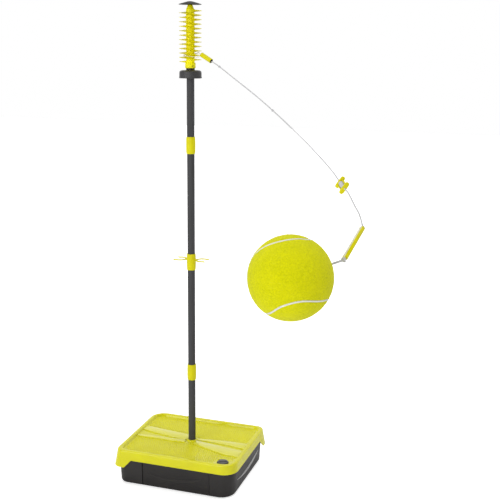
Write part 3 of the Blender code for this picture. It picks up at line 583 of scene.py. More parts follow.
def make_adjuster():
    """The winder: two bars with curled ends, two rails between them, and the wound spare cord."""
    axis = (ADJUSTER_END - ADJUSTER_TOP).normalized()
    across = (ADJUSTER_CROSSWAYS - axis * ADJUSTER_CROSSWAYS.dot(axis)).normalized()
    deep = axis.cross(across)
    length = (ADJUSTER_END - ADJUSTER_TOP).length
    middle = (ADJUSTER_END + ADJUSTER_TOP) / 2
    turn = Matrix((across, deep, axis)).transposed().to_4x4()
    bm = bmesh.new()
    for side in (-1, 1):
        at = middle + axis * side * (length / 2 - 0.0024)
        join(bm, pillow("flange", (0.0168, 0.006, 0.0034), Matrix.Translation(at) @ turn))
        at = middle + across * side * 0.0087
        half = (0.0019, 0.0027, length / 2 - 0.001)
        join(bm, pillow("rail", half, Matrix.Translation(at) @ turn))
    piece("adjuster_frame", mesh_of(bm, "adjuster_frame"), YELLOW, "tether", ["adjuster"], 50)
    wound = []
    steps = 44 * WOUND_TURNS
    for step in range(steps + 1):
        angle = 2 * math.pi * WOUND_TURNS * step / steps
        tilt = math.pi * step / steps
        reach = math.copysign(abs(math.cos(angle)) ** 0.45, math.cos(angle)) * 0.015
        out = math.copysign(abs(math.sin(angle)) ** 0.6, math.sin(angle)) * 0.0047
        direction = across * math.cos(tilt) + deep * math.sin(tilt)
        wound.append(middle + axis * reach + direction * out)
    braided("wound_cord", wound, WOUND_RADIUS, CORD, "tether", ["cord_winding"], 10, True)
    return axis


def make_tether():
    first = (Vector(UPPER_ROUTE[0]) - BEAD_AT).normalized()
    axis = make_adjuster()
    start = BEAD_AT + first * 0.0033
    route = [start] + UPPER_ROUTE + [ADJUSTER_TOP + axis * 0.0004]
    path = smooth_route(route, BRAID_STEP)
    upper = braided("tether_cord_upper", path, CORD_DIAMETER / 2, CORD, "tether",
                    ["tether_upper"])
    for number, place in ((1, UPPER_ROUTE[0]), (2, UPPER_ROUTE[3])):
        at, tangent = nearest_on(path, place)
        tight_knot(f"small_knot_{number}", at, tangent, 0.0042, 0.0017, "tether",
                                [f"cord_knot_{number}"])
    last = (SLEEVE_TOP - Vector(LOWER_ROUTE[-1])).normalized()
    start = ADJUSTER_END - axis * 0.0004
    route = [start] + LOWER_ROUTE + [SLEEVE_TOP - last * 0.0043]
    path = smooth_route(route, BRAID_STEP)
    lower = braided("tether_cord_lower", path, CORD_DIAMETER / 2, CORD, "tether",
                    ["tether_lower"])
    top_knot = tight_knot("sleeve_top_knot", SLEEVE_TOP, SLEEVE_AXIS, 0.0041, 0.0016, "tether",
                          ["sleeve_knot"])


make_tether()


# ---------------------------------------------------------------- sleeve, end knot and tail
SLEEVE_RADIUS = 0.0065
SLEEVE_BORE = 0.0044
KNOT_AT = SLEEVE_END + SLEEVE_AXIS * 0.0052
KNOT_RADIUS = 0.0065
SLIT_SIDE = Vector((-0.64, -0.79, 0.12))     # the sleeve's lengthways slit opens this way
SLIT_HALF_DEG = 42
INNER_CORD_RADIUS = 0.0031
TAIL_RADIUS = 0.0027


def slit_tube(name, radius, bore, length, half_gap, place):
    """A tube along +Z with a lengthways slit on its +X side, its edges eased."""
    levels = [(0.0, 0.0005), (0.0005, 0.0), (length - 0.0005, 0.0), (length, 0.0005)]
    steps = 40
    bm = bmesh.new()
    rows = []
    for height, ease in levels:
        row = []
        for reach, way in ((radius - ease, 1), (bore + ease, -1)):
            for step in range(steps + 1):
                angle = math.pi + way * (2 * step / steps - 1) * (math.pi - half_gap)
                trim = 0.0004 if step in (0, steps) else 0.0
                far = reach - way * trim
                row.append(bm.verts.new((far * math.cos(angle), far * math.sin(angle), height)))
        rows.append(row)
    bridge(bm, rows, capped=False)
    fill_band(bm, rows[0])
    fill_band(bm, rows[-1])
    return mesh_of(bm, name, place)


def make_sleeve():
    length = (SLEEVE_END - SLEEVE_TOP).length
    side = (SLIT_SIDE - SLEEVE_AXIS * SLIT_SIDE.dot(SLEEVE_AXIS)).normalized()
    turn = Matrix((side, SLEEVE_AXIS.cross(side), SLEEVE_AXIS)).transposed().to_4x4()
    start = SLEEVE_TOP + SLEEVE_AXIS * 0.001
    mesh = slit_tube("sleeve_tube", SLEEVE_RADIUS, SLEEVE_BORE, length - 0.001,
                     math.radians(SLIT_HALF_DEG), Matrix.Translation(start) @ turn)
    piece("sleeve_tube", mesh, YELLOW, "sleeve", ["tether_sleeve"], 50)
    lean = side * (SLEEVE_RADIUS - INNER_CORD_RADIUS)
    inner = smooth_route([
        SLEEVE_TOP + SLEEVE_AXIS * 0.0043, SLEEVE_TOP + SLEEVE_AXIS * 0.011 + lean,
        SLEEVE_TOP.lerp(SLEEVE_END, 0.5) + lean, SLEEVE_END - SLEEVE_AXIS * 0.01 + lean,
        KNOT_AT - SLEEVE_AXIS * 0.005], BRAID_STEP)
    braided("sleeve_inner_cord", inner, INNER_CORD_RADIUS, PALE_CORD, "sleeve", ["inner_cord"], 14)
    tight_knot("end_knot_strands", KNOT_AT, SLEEVE_AXIS, KNOT_RADIUS, 0.0029, "sleeve",
               ["end_knot"])


make_sleeve()

# ---------------------------------------------------------------- ball
BALL_LOW, BALL_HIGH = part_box("ball_felt")
BALL_RADIUS = (BALL_HIGH.z - BALL_LOW.z) / 2
BALL_AT = Vector((0.699, -1.188, 1.113))
# The seam runs over these directions from the ball's middle, as one smooth closed curve.
SEAM_ROUTE = [
    (0.9, -0.12, -0.41), (0.54, -0.78, -0.3), (0.04, -0.89, -0.45), (-0.44, -0.45, -0.78),
    (-0.65, -0.25, -0.71), (-0.86, -0.36, -0.36), (-0.93, -0.38, 0.01), (-0.92, -0.28, 0.29),
    (-0.78, -0.29, 0.56), (-0.51, -0.36, 0.78), (-0.14, -0.34, 0.93), (0.18, -0.16, 0.97),
    (0.38, 0.09, 0.92), (0.26, 0.6, 0.75), (0.07, 0.84, 0.54), (-0.14, 0.96, 0.25),
    (-0.26, 0.96, -0.1), (-0.21, 0.88, -0.42), (-0.0, 0.76, -0.66), (0.31, 0.59, -0.74),
    (0.62, 0.39, -0.68), (0.84, 0.13, -0.52),
]
SEAM_HALF_WIDTH = 0.0019
TO_KNOT = (KNOT_AT - BALL_AT).normalized()


def seam_curve(count):
    """Unit directions along the ball's seam, as an array."""
    route = [Vector(p) for p in SEAM_ROUTE]
    even = smooth_route(route, length_of(route + route[:1]) / count, True)
    points = np.array([tuple(p) for p in even])
    return points / np.linalg.norm(points, axis=1)[:, None]


def seam_distance(directions, curve):
    """Distance over the ball's surface from each direction to the seam, in metres."""
    nearest = np.full(len(directions), -1.0)
    for start in range(0, len(curve), 200):
        nearest = np.maximum(nearest, (directions @ curve[start:start + 200].T).max(axis=1))
    return np.arccos(np.clip(nearest, -1, 1)) * BALL_RADIUS


def felt_height(distance, directions):
    """How far the felt stands off the ball's radius: rolled edges at the seam, and tufts."""
    edge = np.clip((distance - 0.0012) / 0.0034, 0, 1)
    roll = -0.0022 * (1 - edge * edge * (3 - 2 * edge))
    rng = np.random.default_rng(7)
    tufts = np.zeros(len(directions))
    for _ in range(26):
        wave = rng.normal(size=3)
        wave *= rng.uniform(45, 150) / np.linalg.norm(wave)
        tufts += np.sin(directions @ wave + rng.uniform(0, 6.28))
    return roll + 0.00005 * tufts - 0.0003


def make_ball():
    curve = seam_curve(900)
    bm = bmesh.new()
    bmesh.ops.create_icosphere(bm, subdivisions=6, radius=1.0)
    for reach in (0.01, 0.006):
        where = np.array([v.co for v in bm.verts])
        where /= np.linalg.norm(where, axis=1)[:, None]
        near = seam_distance(where, curve) < reach
        bm.verts.index_update()
        edges = [e for e in bm.edges if near[e.verts[0].index] and near[e.verts[1].index]]
        bmesh.ops.subdivide_edges(bm, edges=edges, cuts=1, use_grid_fill=True)
    where = np.array([v.co for v in bm.verts])
    where /= np.linalg.norm(where, axis=1)[:, None]
    reach = BALL_RADIUS + felt_height(seam_distance(where, curve), where)
    hole = np.arccos(np.clip(where @ np.array(TO_KNOT), -1, 1)) * BALL_RADIUS
    reach -= 0.0016 * np.exp(-(hole / 0.009) ** 2)
    for vert, direction, length in zip(bm.verts, where, reach):
        vert.co = BALL_AT + Vector(direction) * float(length)
    bmesh.ops.triangulate(bm, faces=bm.faces)
    piece("felt_cover", mesh_of(bm, "felt_cover"), FELT, "ball", ["ball_felt"], 75)
    section = []
    for step in range(9):
        angle = math.pi * step / 8
        section.append((math.cos(angle) * SEAM_HALF_WIDTH, math.sin(angle) * 0.0009 - 0.0012))
    section += [(-SEAM_HALF_WIDTH, -0.0026), (SEAM_HALF_WIDTH, -0.0026)]
    points = [Vector(p) for p in seam_curve(360)]
    total = len(points)
    bm = bmesh.new()
    rows = []
    for i, out in enumerate(points):
        side = out.cross(points[(i + 1) % total] - points[i - 1]).normalized()
        rows.append([bm.verts.new(BALL_AT + out * (BALL_RADIUS + h) + side * w)
                     for w, h in section])
    bridge(bm, rows, True, False)
    piece("ball_seam", mesh_of(bm, "ball_seam"), SEAM_RUBBER, "ball", (), 50)


def make_ball_fittings():
    """The rubber ring at the ball's hole and the thick cord that runs into it."""
    place = along(TO_KNOT, BALL_AT)
    turned("ball_hole_ring", [
        (0.0031, BALL_RADIUS + 0.0022), (0.0072, BALL_RADIUS + 0.0018),
        (0.0085, BALL_RADIUS + 0.0002), (0.006, BALL_RADIUS - 0.003),
        (0.0031, BALL_RADIUS - 0.003)],
        FELT, "ball", ["ball_grommet"], place, 48, True, 0.0005)
    start = KNOT_AT - TO_KNOT * 0.005
    path = smooth_route([start, BALL_AT + TO_KNOT * (BALL_RADIUS - 0.012)], BRAID_STEP)
    braided("ball_tail_cord", path, TAIL_RADIUS, CORD, "ball", ["ball_tail"])


make_ball()
make_ball_fittings()

# ---------------------------------------------------------------- ferrule and loop
FIN_PITCH = 0.015       # left-handed: the fin goes down as the angle about +Z grows
FIN_START_DEG = -12
FIN_END_DEG = 4182
FIN_START_Z = 1.7103
EXIT_DEG = -20
EXIT_TURN_NUMBER = 10
LOOP_RADIUS = 0.024
WIRE_RADIUS = 0.0012
WIRE_STEP = 0.0016
FERRULE_RADIUS = 0.008


def circle_point(radius, angle, height):
    return Vector((radius * math.cos(angle), radius * math.sin(angle), height))


def fin_height(degrees):
    """Height of the middle of the fin at an angle that keeps counting up, turn after turn."""
    return FIN_START_Z - FIN_PITCH * (degrees - FIN_START_DEG) / 360


def make_wire_loop():
    exit_height = fin_height(EXIT_DEG + 360 * EXIT_TURN_NUMBER)
    half = FIN_PITCH / 2
    across = (UP - FERRULE_AXIS * UP.dot(FERRULE_AXIS)).normalized() * 0.0018
    entry = FERRULE_TOP + FERRULE_AXIS * 0.002
    straight = FERRULE_TOP - FERRULE_AXIS * 0.0034
    route = [entry - across, straight - across]
    route.append(circle_point(0.0425, math.radians(EXIT_DEG), exit_height - 0.0056))
    route.append(circle_point(0.036, math.radians(EXIT_DEG - 7), exit_height - half))
    for degrees in range(35, 326, 29):
        height = exit_height - half + FIN_PITCH * degrees / 360
        route.append(circle_point(LOOP_RADIUS, math.radians(EXIT_DEG - degrees), height))
    route.append(circle_point(0.036, math.radians(EXIT_DEG + 7), exit_height + half))
    route.append(circle_point(0.0425, math.radians(EXIT_DEG), exit_height + 0.0056))
    route += [straight + across, entry + across]
    mesh = sweep("loop_wire", smooth_route(route, WIRE_STEP), WIRE_RADIUS, 14)
    piece("loop_wire", mesh, STEEL, "loop", ["wire_loop"], 50)


def make_ferrule():
    length = (FERRULE_END - FERRULE_TOP).length
    radius = FERRULE_RADIUS
    place = along(FERRULE_AXIS, FERRULE_TOP)
    turned("ferrule_sleeve", [
        (0, length - 0.0018), (radius - 0.0004, length - 0.0018), (radius, length - 0.0026),
        (radius, 0.0042), (radius - 0.0007, 0.0037), (radius - 0.0007, 0.0031), (radius, 0.0026),
        (radius, 0.0008), (radius - 0.001, 0), (0, 0)], YELLOW, "loop", ["ferrule"], place, 64)
    turned("ferrule_end", [
        (0, length - 0.0006), (radius - 0.0022, length - 0.0006), (radius - 0.0014, length - 0.001),
        (radius - 0.0014, length - 0.0017), (0, length - 0.0017)],
        BLACK, "loop", ["ferrule_bush"], place, 64)


make_wire_loop()
make_ferrule()

# ---------------------------------------------------------------- spiral head
POLE_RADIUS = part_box("pole_section_2")[1].x
HELIX_LOW, HELIX_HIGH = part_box("helix")
FIN_RADIUS = HELIX_HIGH.y
TUBE_BORE = POLE_RADIUS + 0.0003     # of what sits on the tube
CORE_RADIUS = 0.0147
SHOULDER_Z = 1.7126
BUTTON_DEG = -40
BUTTON_Z = 1.5224
BUTTON_HOLE_RADIUS = 0.0027
PIN_DEG = -91
PIN_Z = 1.4762
FIN_RUN_IN_DEG = 28
FIN_STEP_DEG = 6


def make_fin():
    """The spiral fin: thick at its root, fine at its rounded edge, faired in at both ends."""
    root = CORE_RADIUS - 0.001
    count = round((FIN_END_DEG - FIN_START_DEG) / FIN_STEP_DEG)
    bm = bmesh.new()
    rows = []
    for step in range(count + 1):
        degrees = FIN_START_DEG + (FIN_END_DEG - FIN_START_DEG) * step / count
        to_end = min(degrees - FIN_START_DEG, FIN_END_DEG - degrees)
        share = 0.05 + 0.95 * min(1, to_end / FIN_RUN_IN_DEG)
        edge = root + (FIN_RADIUS - root) * math.sin(share * math.pi / 2)
        span = edge - root
        upper = [(root, 0.0042), (root + 0.06 * span, 0.0033), (root + 0.3 * span, 0.0024),
                 (root + 0.65 * span, 0.0013), (edge - 0.002, 0.0006), (edge - 0.0003, 0.0003),
                 (edge, 0.0)]
        section = upper + [(r, -z) for r, z in reversed(upper[:-1])]
        angle = math.radians(degrees)
        middle = fin_height(degrees)
        rows.append([bm.verts.new(circle_point(r, angle, middle + z)) for r, z in section])
    bridge(bm, rows)
    piece("spiral_fin", mesh_of(bm, "spiral_fin"), SPIRAL_YELLOW_PAINTED_LIGHT, "pole_head", ["helix"], 45)


def make_spiral_core():
    foot = HELIX_LOW.z
    core = turned("spiral_core", [
        (0.0051, HELIX_HIGH.z), (0.008, HELIX_HIGH.z), (0.0098, 1.7236), (0.0128, 1.716),
        (CORE_RADIUS, SHOULDER_Z), (CORE_RADIUS, 1.5352), (0.0158, 1.5344), (0.0183, 1.5322),
        (0.0183, foot + 0.0012), (0.0176, foot), (TUBE_BORE, foot), (TUBE_BORE, 1.531),
        (0.01, 1.5345), (0.01, 1.7), (0.0051, 1.705)],
        SPIRAL_YELLOW_PAINTED_LIGHT, "pole_head", ["helix"], None, 96, True, 0.0007)
    outwards = circle_point(1, math.radians(BUTTON_DEG), 0)
    drill(core, "button_hole", BUTTON_HOLE_RADIUS, 0.005,
          along(outwards, outwards * 0.018 + UP * BUTTON_Z), 32)
    turned("button_head", [
        (0, 0.0172), (0.0012, 0.017), (0.0022, 0.016), (0.0022, 0.0112), (0, 0.0112)],
        DARK_STEEL, "pole_head", ["snap_button"], along(outwards, (0, 0, BUTTON_Z)), 32)


def make_cap():
    low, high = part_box("top_cap")
    rim = high.x
    turned("cap_shell", [
        (0, high.z), (0.006, high.z - 0.0002), (0.009, high.z - 0.0009), (0.018, high.z - 0.0032),
        (0.029, high.z - 0.0064), (0.0375, high.z - 0.009), (rim, high.z - 0.0104),
        (rim, high.z - 0.0112), (rim - 0.0016, high.z - 0.0112), (0.029, high.z - 0.0096),
        (0.02, high.z - 0.0086), (0.01, high.z - 0.0086), (0.007, high.z - 0.0113),
        (0.0047, high.z - 0.0113), (0.0047, low.z + 0.001), (0, low.z)],
        CAP_BLACK, "pole_head", ["top_cap"], ease=0.0006)


def make_guard():
    low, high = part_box("guard_flange")
    rim = high.x
    turned("guard_bell", [
        (TUBE_BORE, high.z), (rim - 0.0106, high.z), (rim - 0.005, high.z - 0.0014),
        (rim - 0.0017, high.z - 0.0044), (rim - 0.0009, high.z - 0.0086),
        (rim - 0.0007, low.z + 0.0047), (rim, low.z + 0.004), (rim, low.z), (rim - 0.0028, low.z),
        (rim - 0.0034, low.z + 0.018), (rim - 0.0062, low.z + 0.0236), (0.019, low.z + 0.0246),
        (0.0166, low.z + 0.023), (0.0163, low.z + 0.0008), (TUBE_BORE, low.z + 0.0008)],
        GUARD_GREY, "pole_head", ["guard_flange"], None, 96, True, 0.0012)
    low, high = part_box("neck_bush")
    turned("neck_ring", [
        (TUBE_BORE, high.z), (high.x, high.z), (high.x, low.z), (TUBE_BORE, low.z)],
        BLACK, "pole_head", ["neck_bush"], None, 64, True)
    outwards = circle_point(1, math.radians(PIN_DEG), 0)
    turned("guard_pin_head", [
        (0, 0.0149), (0.0012, 0.0147), (0.0021, 0.014), (0.0021, 0.0134), (0, 0.0134)],
        DARK_STEEL, "pole_head", ["guard_pin"], along(outwards, (0, 0, PIN_Z)), 24, ease=0.0002)


make_fin()
make_spiral_core()
make_cap()
make_guard()


# ---------------------------------------------------------------- pole
TUBE_INSIDE = 0.0123
CLIP_MIDDLE = 0.0426    # from the pole's axis to the middle of a fork
CLIP_GRIP = 0.0225
PRONG_RADIUS = 0.0023


def make_sections():
    bodies = ("pole_lower", "pole_middle", "pole_upper", "pole_head")
    for number, body in enumerate(bodies, start=1):
        low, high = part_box(f"pole_section_{number}")
        turned(f"tube_{number}", [
            (TUBE_INSIDE, high.z), (POLE_RADIUS, high.z), (POLE_RADIUS, low.z),
            (TUBE_INSIDE, low.z)],
            POLE_PAINT, body, [f"pole_section_{number}"], None, 72, True, 0.0005)


def make_collars():
    """Barrel-shaped sleeves with a fine parting line and a raised lip at each end."""
    for name, body in (("collar_lower", "pole_lower"), ("collar_clip", "pole_middle"),
                       ("collar_upper", "pole_upper")):
        low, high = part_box(name)
        half = (high.z - low.z) / 2
        widest = high.x
        outer = [(widest - 0.0016, half), (widest - 0.0009, half - 0.0016),
                 (widest - 0.0009, half - 0.0042), (widest - 0.0005, half - 0.005),
                 (widest - 0.0001, half / 2), (widest, 0.001), (widest - 0.0005, 0.0)]
        lower = [(radius, -height) for radius, height in reversed(outer[:-1])]
        inner = [(TUBE_BORE, -half), (TUBE_BORE, -0.001), (0.0112, -0.001), (0.0112, 0.001),
                 (TUBE_BORE, 0.001), (TUBE_BORE, half)]
        turned(f"{name}_sleeve", outer + lower + inner, YELLOW, body, [name],
               Matrix.Translation((0, 0, (low.z + high.z) / 2)), closed=True)


def make_bat_clips():
    """Forks with long curved prongs and a webbed root on the collar."""
    height = (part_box("bat_clip_left")[0].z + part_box("bat_clip_left")[1].z) / 2
    for name, side in (("bat_clip_left", -1), ("bat_clip_right", 1)):
        middle = Vector((side * CLIP_MIDDLE, 0, height))
        outline = [(0.0165, -0.0235)]
        for degrees in range(-120, 121, 12):
            angle = math.radians(degrees)
            outline.append((-math.cos(angle) * CLIP_GRIP, math.sin(angle) * CLIP_GRIP))
        outline.append((0.0165, 0.0235))
        route = smooth_route([middle + Vector((side * x, y, 0)) for x, y in outline], 0.0015)
        bm = bmesh.new()
        join(bm, sweep("fork", route, PRONG_RADIUS, 16))
        web = [Vector((side * x, 0, height)) for x in (0.0168, 0.0195, 0.0215)]
        join(bm, sweep("web", web, 0.004, 20, squash=0.9))
        piece(f"{name}_fork", mesh_of(bm, f"{name}_fork"), YELLOW, "pole_middle", [name], 50)


make_sections()
make_collars()
make_bat_clips()

# ---------------------------------------------------------------- lid
LID_LOW, LID_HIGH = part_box("base_lid")
SKIRT_FLARE = 0.007     # how far the deep corners of the skirt stand out at their foot
LID_WIDTH = LID_HIGH.x - LID_LOW.x - 2 * SKIRT_FLARE
LID_DEPTH = LID_HIGH.y - LID_LOW.y - 2 * SKIRT_FLARE
LID_TOP = LID_HIGH.z
LID_CORNER = 0.055
DEEP_CORNER = 0.032     # radius of the two corners where the skirt is deep
TRAY_DEEP_CORNER = 0.026
DEEP_SKIRT_LENGTH = 0.046
LID_WALL = 0.003
SKIRT_DEPTH = 0.036
DEEP_SKIRT_DEPTH = 0.064
RIM_WIDTH = 0.016
TRAY_TOP = LID_TOP - 0.009
TRAY_INSET = RIM_WIDTH + 0.004
FILLER_AT = Vector((0.176, -0.146, 0))
FILLER_HOLE_RADIUS = 0.0176
LID_BORE = POLE_RADIUS + 0.0006
PLATE_FOOT = TRAY_TOP - 0.001      # pads and plates start inside the tray's floor
PAD_TOP = TRAY_TOP + 0.004
PADS = {
    "back_left": [(-0.214, 0.06), (-0.13, 0.047), (-0.02, 0.034), (-0.018, -0.012),
                  (-0.04, -0.014), (-0.132, 0.005), (-0.214, 0.022)],
    "front_left": [(-0.214, -0.022), (-0.018, -0.016), (-0.018, -0.033), (-0.214, -0.038)],
    "back_right": [(0.018, 0.01), (0.13, 0.024), (0.214, 0.026), (0.214, -0.019),
                   (0.149, -0.007), (0.085, -0.002), (0.018, 0.0)],
    "front_right": [(0.018, -0.006), (0.214, -0.04), (0.214, -0.09), (0.158, -0.087),
                    (0.128, -0.078), (0.018, -0.036)],
}
DOT_PITCH = 0.0085
DOT_RADIUS = 0.0031
DOT_HEIGHT = 0.0013
DOT_SIDES = 8
DOT_CLEARS_POLE = 0.027
DOT_CLEARS_FILLER = 0.036
DOT_CLEARS_PAD = 0.0042


def rounded_rectangle(width, depth, corners, side_points=((), ()), arc_steps=14):
    """Points round a rectangle with round corners.

    corners holds two radii, for the two corners with x and y of one sign and for the other two.
    side_points holds, for each of those, distances from the corner along its two sides.
    """
    points = []
    for quarter in range(4):
        sx = (1, -1, -1, 1)[quarter]
        sy = (1, 1, -1, -1)[quarter]
        corner = corners[quarter % 2]
        centre = Vector((sx * (width / 2 - corner), sy * (depth / 2 - corner), 0))
        arc = []
        for step in range(arc_steps + 1):
            angle = math.pi / 2 * (quarter + step / arc_steps)
            arc.append(centre + Vector((math.cos(angle), math.sin(angle), 0)) * corner)
        before = []
        after = []
        for distance in side_points[quarter % 2]:
            along_y = Vector((sx * width / 2, sy * (depth / 2 - distance), 0))
            along_x = Vector((sx * (width / 2 - distance), sy * depth / 2, 0))
            first, last = (along_y, along_x) if quarter % 2 == 0 else (along_x, along_y)
            before.append(first)
            after.append(last)
        points += before[::-1] + arc + after
    return points


def lid_outline(inset):
    corners = (max(DEEP_CORNER - inset, TRAY_DEEP_CORNER), LID_CORNER - inset)
    deep_points = [max(DEEP_SKIRT_LENGTH + reach - inset, corners[0] + (i + 1) * 0.001)
                   for i, reach in enumerate((0, 0.003, 0.01, 0.017, 0.02))]
    plain_points = [LID_CORNER + reach - inset for reach in (0.005, 0.01, 0.02, 0.03, 0.06)]
    return rounded_rectangle(LID_WIDTH - 2 * inset, LID_DEPTH - 2 * inset, corners,
                             (deep_points, plain_points))


def lid_ring(inset, height):
    return [Vector((p.x, p.y, height)) for p in lid_outline(inset)]


def skirt_share(point):
    """1 where the skirt's edge is deep and stands out, falling to 0 along its sides."""
    if point.x * point.y < 0:
        return 0.0
    past_x = abs(point.x) - (LID_WIDTH / 2 - DEEP_SKIRT_LENGTH)
    past_y = abs(point.y) - (LID_DEPTH / 2 - DEEP_SKIRT_LENGTH)
    short = max(0.0, -min(past_x, past_y))
    return 1 - min(1.0, max(0.0, (short - 0.001) / 0.018))


def skirt_ring(inset, lift=0.0):
    ring = []
    for point in lid_outline(inset):
        share = skirt_share(point)
        drop = SKIRT_DEPTH + (DEEP_SKIRT_DEPTH - SKIRT_DEPTH) * share
        flare = SKIRT_FLARE * share
        ring.append(Vector((point.x + math.copysign(flare, point.x),
                            point.y + math.copysign(flare, point.y), LID_TOP - drop + lift)))
    return ring


def loft(name, rings):
    """A closed solid over rings of equal count, with its first and last ring filled."""
    bm = bmesh.new()
    bridge(bm, [[bm.verts.new(p) for p in ring] for ring in rings])
    return mesh_of(bm, name)


def make_lid_shell():
    rings = [
        lid_ring(TRAY_INSET + 0.0012, TRAY_TOP), lid_ring(TRAY_INSET, TRAY_TOP + 0.0004),
        lid_ring(RIM_WIDTH + 0.001, LID_TOP - 0.0026), lid_ring(RIM_WIDTH, LID_TOP - 0.001),
        lid_ring(RIM_WIDTH - 0.001, LID_TOP - 0.0002), lid_ring(RIM_WIDTH - 0.0022, LID_TOP),
        lid_ring(0.0078, LID_TOP), lid_ring(0.0052, LID_TOP - 0.0004),
        lid_ring(0.0032, LID_TOP - 0.0013), lid_ring(0.002, LID_TOP - 0.0028),
        lid_ring(0.0014, LID_TOP - 0.005), skirt_ring(0.0001, 0.0016), skirt_ring(0, 0.0008),
        skirt_ring(0.0004), skirt_ring(LID_WALL - 0.0004), skirt_ring(LID_WALL, 0.0006),
        lid_ring(0.0046, LID_TOP - 0.0056), lid_ring(0.006, LID_TOP - LID_WALL),
        lid_ring(RIM_WIDTH - 0.003, LID_TOP - LID_WALL),
        lid_ring(TRAY_INSET - 0.001, TRAY_TOP - LID_WALL),
    ]
    lid = piece("lid_shell", loft("lid_shell", rings), LID_YELLOW, "lid", ["base_lid"])
    drill(lid, "pole_hole", LID_BORE, 0.02, Matrix.Translation(UP * TRAY_TOP))
    drill(lid, "filler_hole", FILLER_HOLE_RADIUS, 0.02,
          Matrix.Translation(FILLER_AT + UP * TRAY_TOP))


def make_lid_pads():
    """The smooth raised pads that fan out from the pole, and the ring round it."""
    for name, outline in PADS.items():
        mesh = prism(f"lid_pad_{name}", outline, PLATE_FOOT, PAD_TOP, None, 0.0009, 0.0006)
        piece(f"lid_pad_{name}", mesh, PAD_YELLOW_PAINTED_REFLECTION, "lid")
    turned("lid_pole_ring", [
        (LID_BORE, PAD_TOP + 0.0006), (0.0185, PAD_TOP + 0.0006), (0.0215, TRAY_TOP - 0.0005),
        (LID_BORE, TRAY_TOP - 0.0005)], LID_YELLOW, "lid", (), None, 72, True, 0.0009)
    turn = Matrix.Translation(FILLER_AT + Vector((-0.0215, 0.02, 0))) @ Matrix.Rotation(
        math.radians(40), 4, "Z")
    mesh = prism("lid_plug_lug", oblong(-0.0042, 0.0042, 0.0064), PLATE_FOOT, TRAY_TOP + 0.004,
                 turn, 0.001, 0.0005)
    piece("lid_plug_lug", mesh, LID_YELLOW, "lid")


def inside(outline, x, y, margin):
    """Whether a point is in an outline or within a margin of its edge."""
    odd = False
    near = False
    for (ax, ay), (bx, by) in zip(outline, outline[1:] + outline[:1]):
        if (ay > y) != (by > y) and x < (bx - ax) * (y - ay) / (by - ay) + ax:
            odd = not odd
        run = Vector((bx - ax, by - ay))
        share = max(0.0, min(1.0, Vector((x - ax, y - ay)).dot(run) / run.length_squared))
        gap = Vector((x - ax, y - ay)) - run * share
        near = near or gap.length < margin
    return odd or near


def smooth_areas():
    """The parts of the tray without tread: the pads and the wedges between them."""
    left = [(-0.215, 0.022), (-0.018, -0.012), (-0.018, -0.016), (-0.215, -0.022)]
    right = [(0.018, 0.0), (0.215, -0.019), (0.215, -0.04), (0.018, -0.006)]
    return list(PADS.values()) + [left, right]


def make_tread_plates():
    """The matt stretches of the tray that carry the studs."""
    half_x = LID_WIDTH / 2 - TRAY_INSET - 0.004
    half_y = LID_DEPTH / 2 - TRAY_INSET - 0.004
    cut_off = 0.022
    back = [(-half_x, 0.068), (-0.13, 0.055), (-0.02, 0.042), (0.02, 0.02), (0.13, 0.031),
            (half_x, 0.033), (half_x, half_y - cut_off), (half_x - cut_off, half_y),
            (cut_off - half_x, half_y), (-half_x, half_y - cut_off)]
    front = [(-half_x, -0.046), (-0.018, -0.041), (0.018, -0.044), (0.06, -0.06),
             (0.06, -half_y), (cut_off - half_x, -half_y), (-half_x, cut_off - half_y)]
    for name, outline in (("back", back), ("front", front)):
        mesh = prism(f"lid_tread_{name}", outline, PLATE_FOOT, TRAY_TOP + 0.0003, None, 0.0002)
        piece(f"lid_tread_{name}", mesh, TREAD_YELLOW, "lid")


def make_tread():
    """Rows of small round studs over the tray."""
    half_x = LID_WIDTH / 2 - TRAY_INSET - 0.007
    half_y = LID_DEPTH / 2 - TRAY_INSET - 0.007
    corner = LID_CORNER - TRAY_INSET
    areas = smooth_areas()
    row_step = DOT_PITCH * math.sqrt(3) / 2
    levels = [(DOT_RADIUS, -0.0002), (0.8 * DOT_RADIUS, 0.6 * DOT_HEIGHT),
              (0.35 * DOT_RADIUS, DOT_HEIGHT)]
    bm = bmesh.new()
    rows = int(half_y / row_step)
    for row in range(-rows, rows + 1):
        y = row * row_step
        shift = DOT_PITCH / 2 if row % 2 else 0.0
        count = int((half_x + DOT_PITCH) / DOT_PITCH)
        for column in range(-count, count + 1):
            x = column * DOT_PITCH + shift
            if abs(x) > half_x:
                continue
            past = Vector((max(0.0, abs(x) - half_x + corner), max(0.0, abs(y) - half_y + corner)))
            if past.length > corner or math.hypot(x, y) < DOT_CLEARS_POLE:
                continue
            if (Vector((x, y, 0)) - FILLER_AT).length < DOT_CLEARS_FILLER:
                continue
            if any(inside(area, x, y, DOT_CLEARS_PAD) for area in areas):
                continue
            rings = []
            for radius, height in levels:
                rings.append([bm.verts.new((x + radius * math.cos(2 * math.pi * k / DOT_SIDES),
                                            y + radius * math.sin(2 * math.pi * k / DOT_SIDES),
                                            TRAY_TOP + height)) for k in range(DOT_SIDES)])
            bridge(bm, rings)
    piece("lid_tread_studs", mesh_of(bm, "lid_tread_studs"), TREAD_YELLOW, "lid", (), 70)


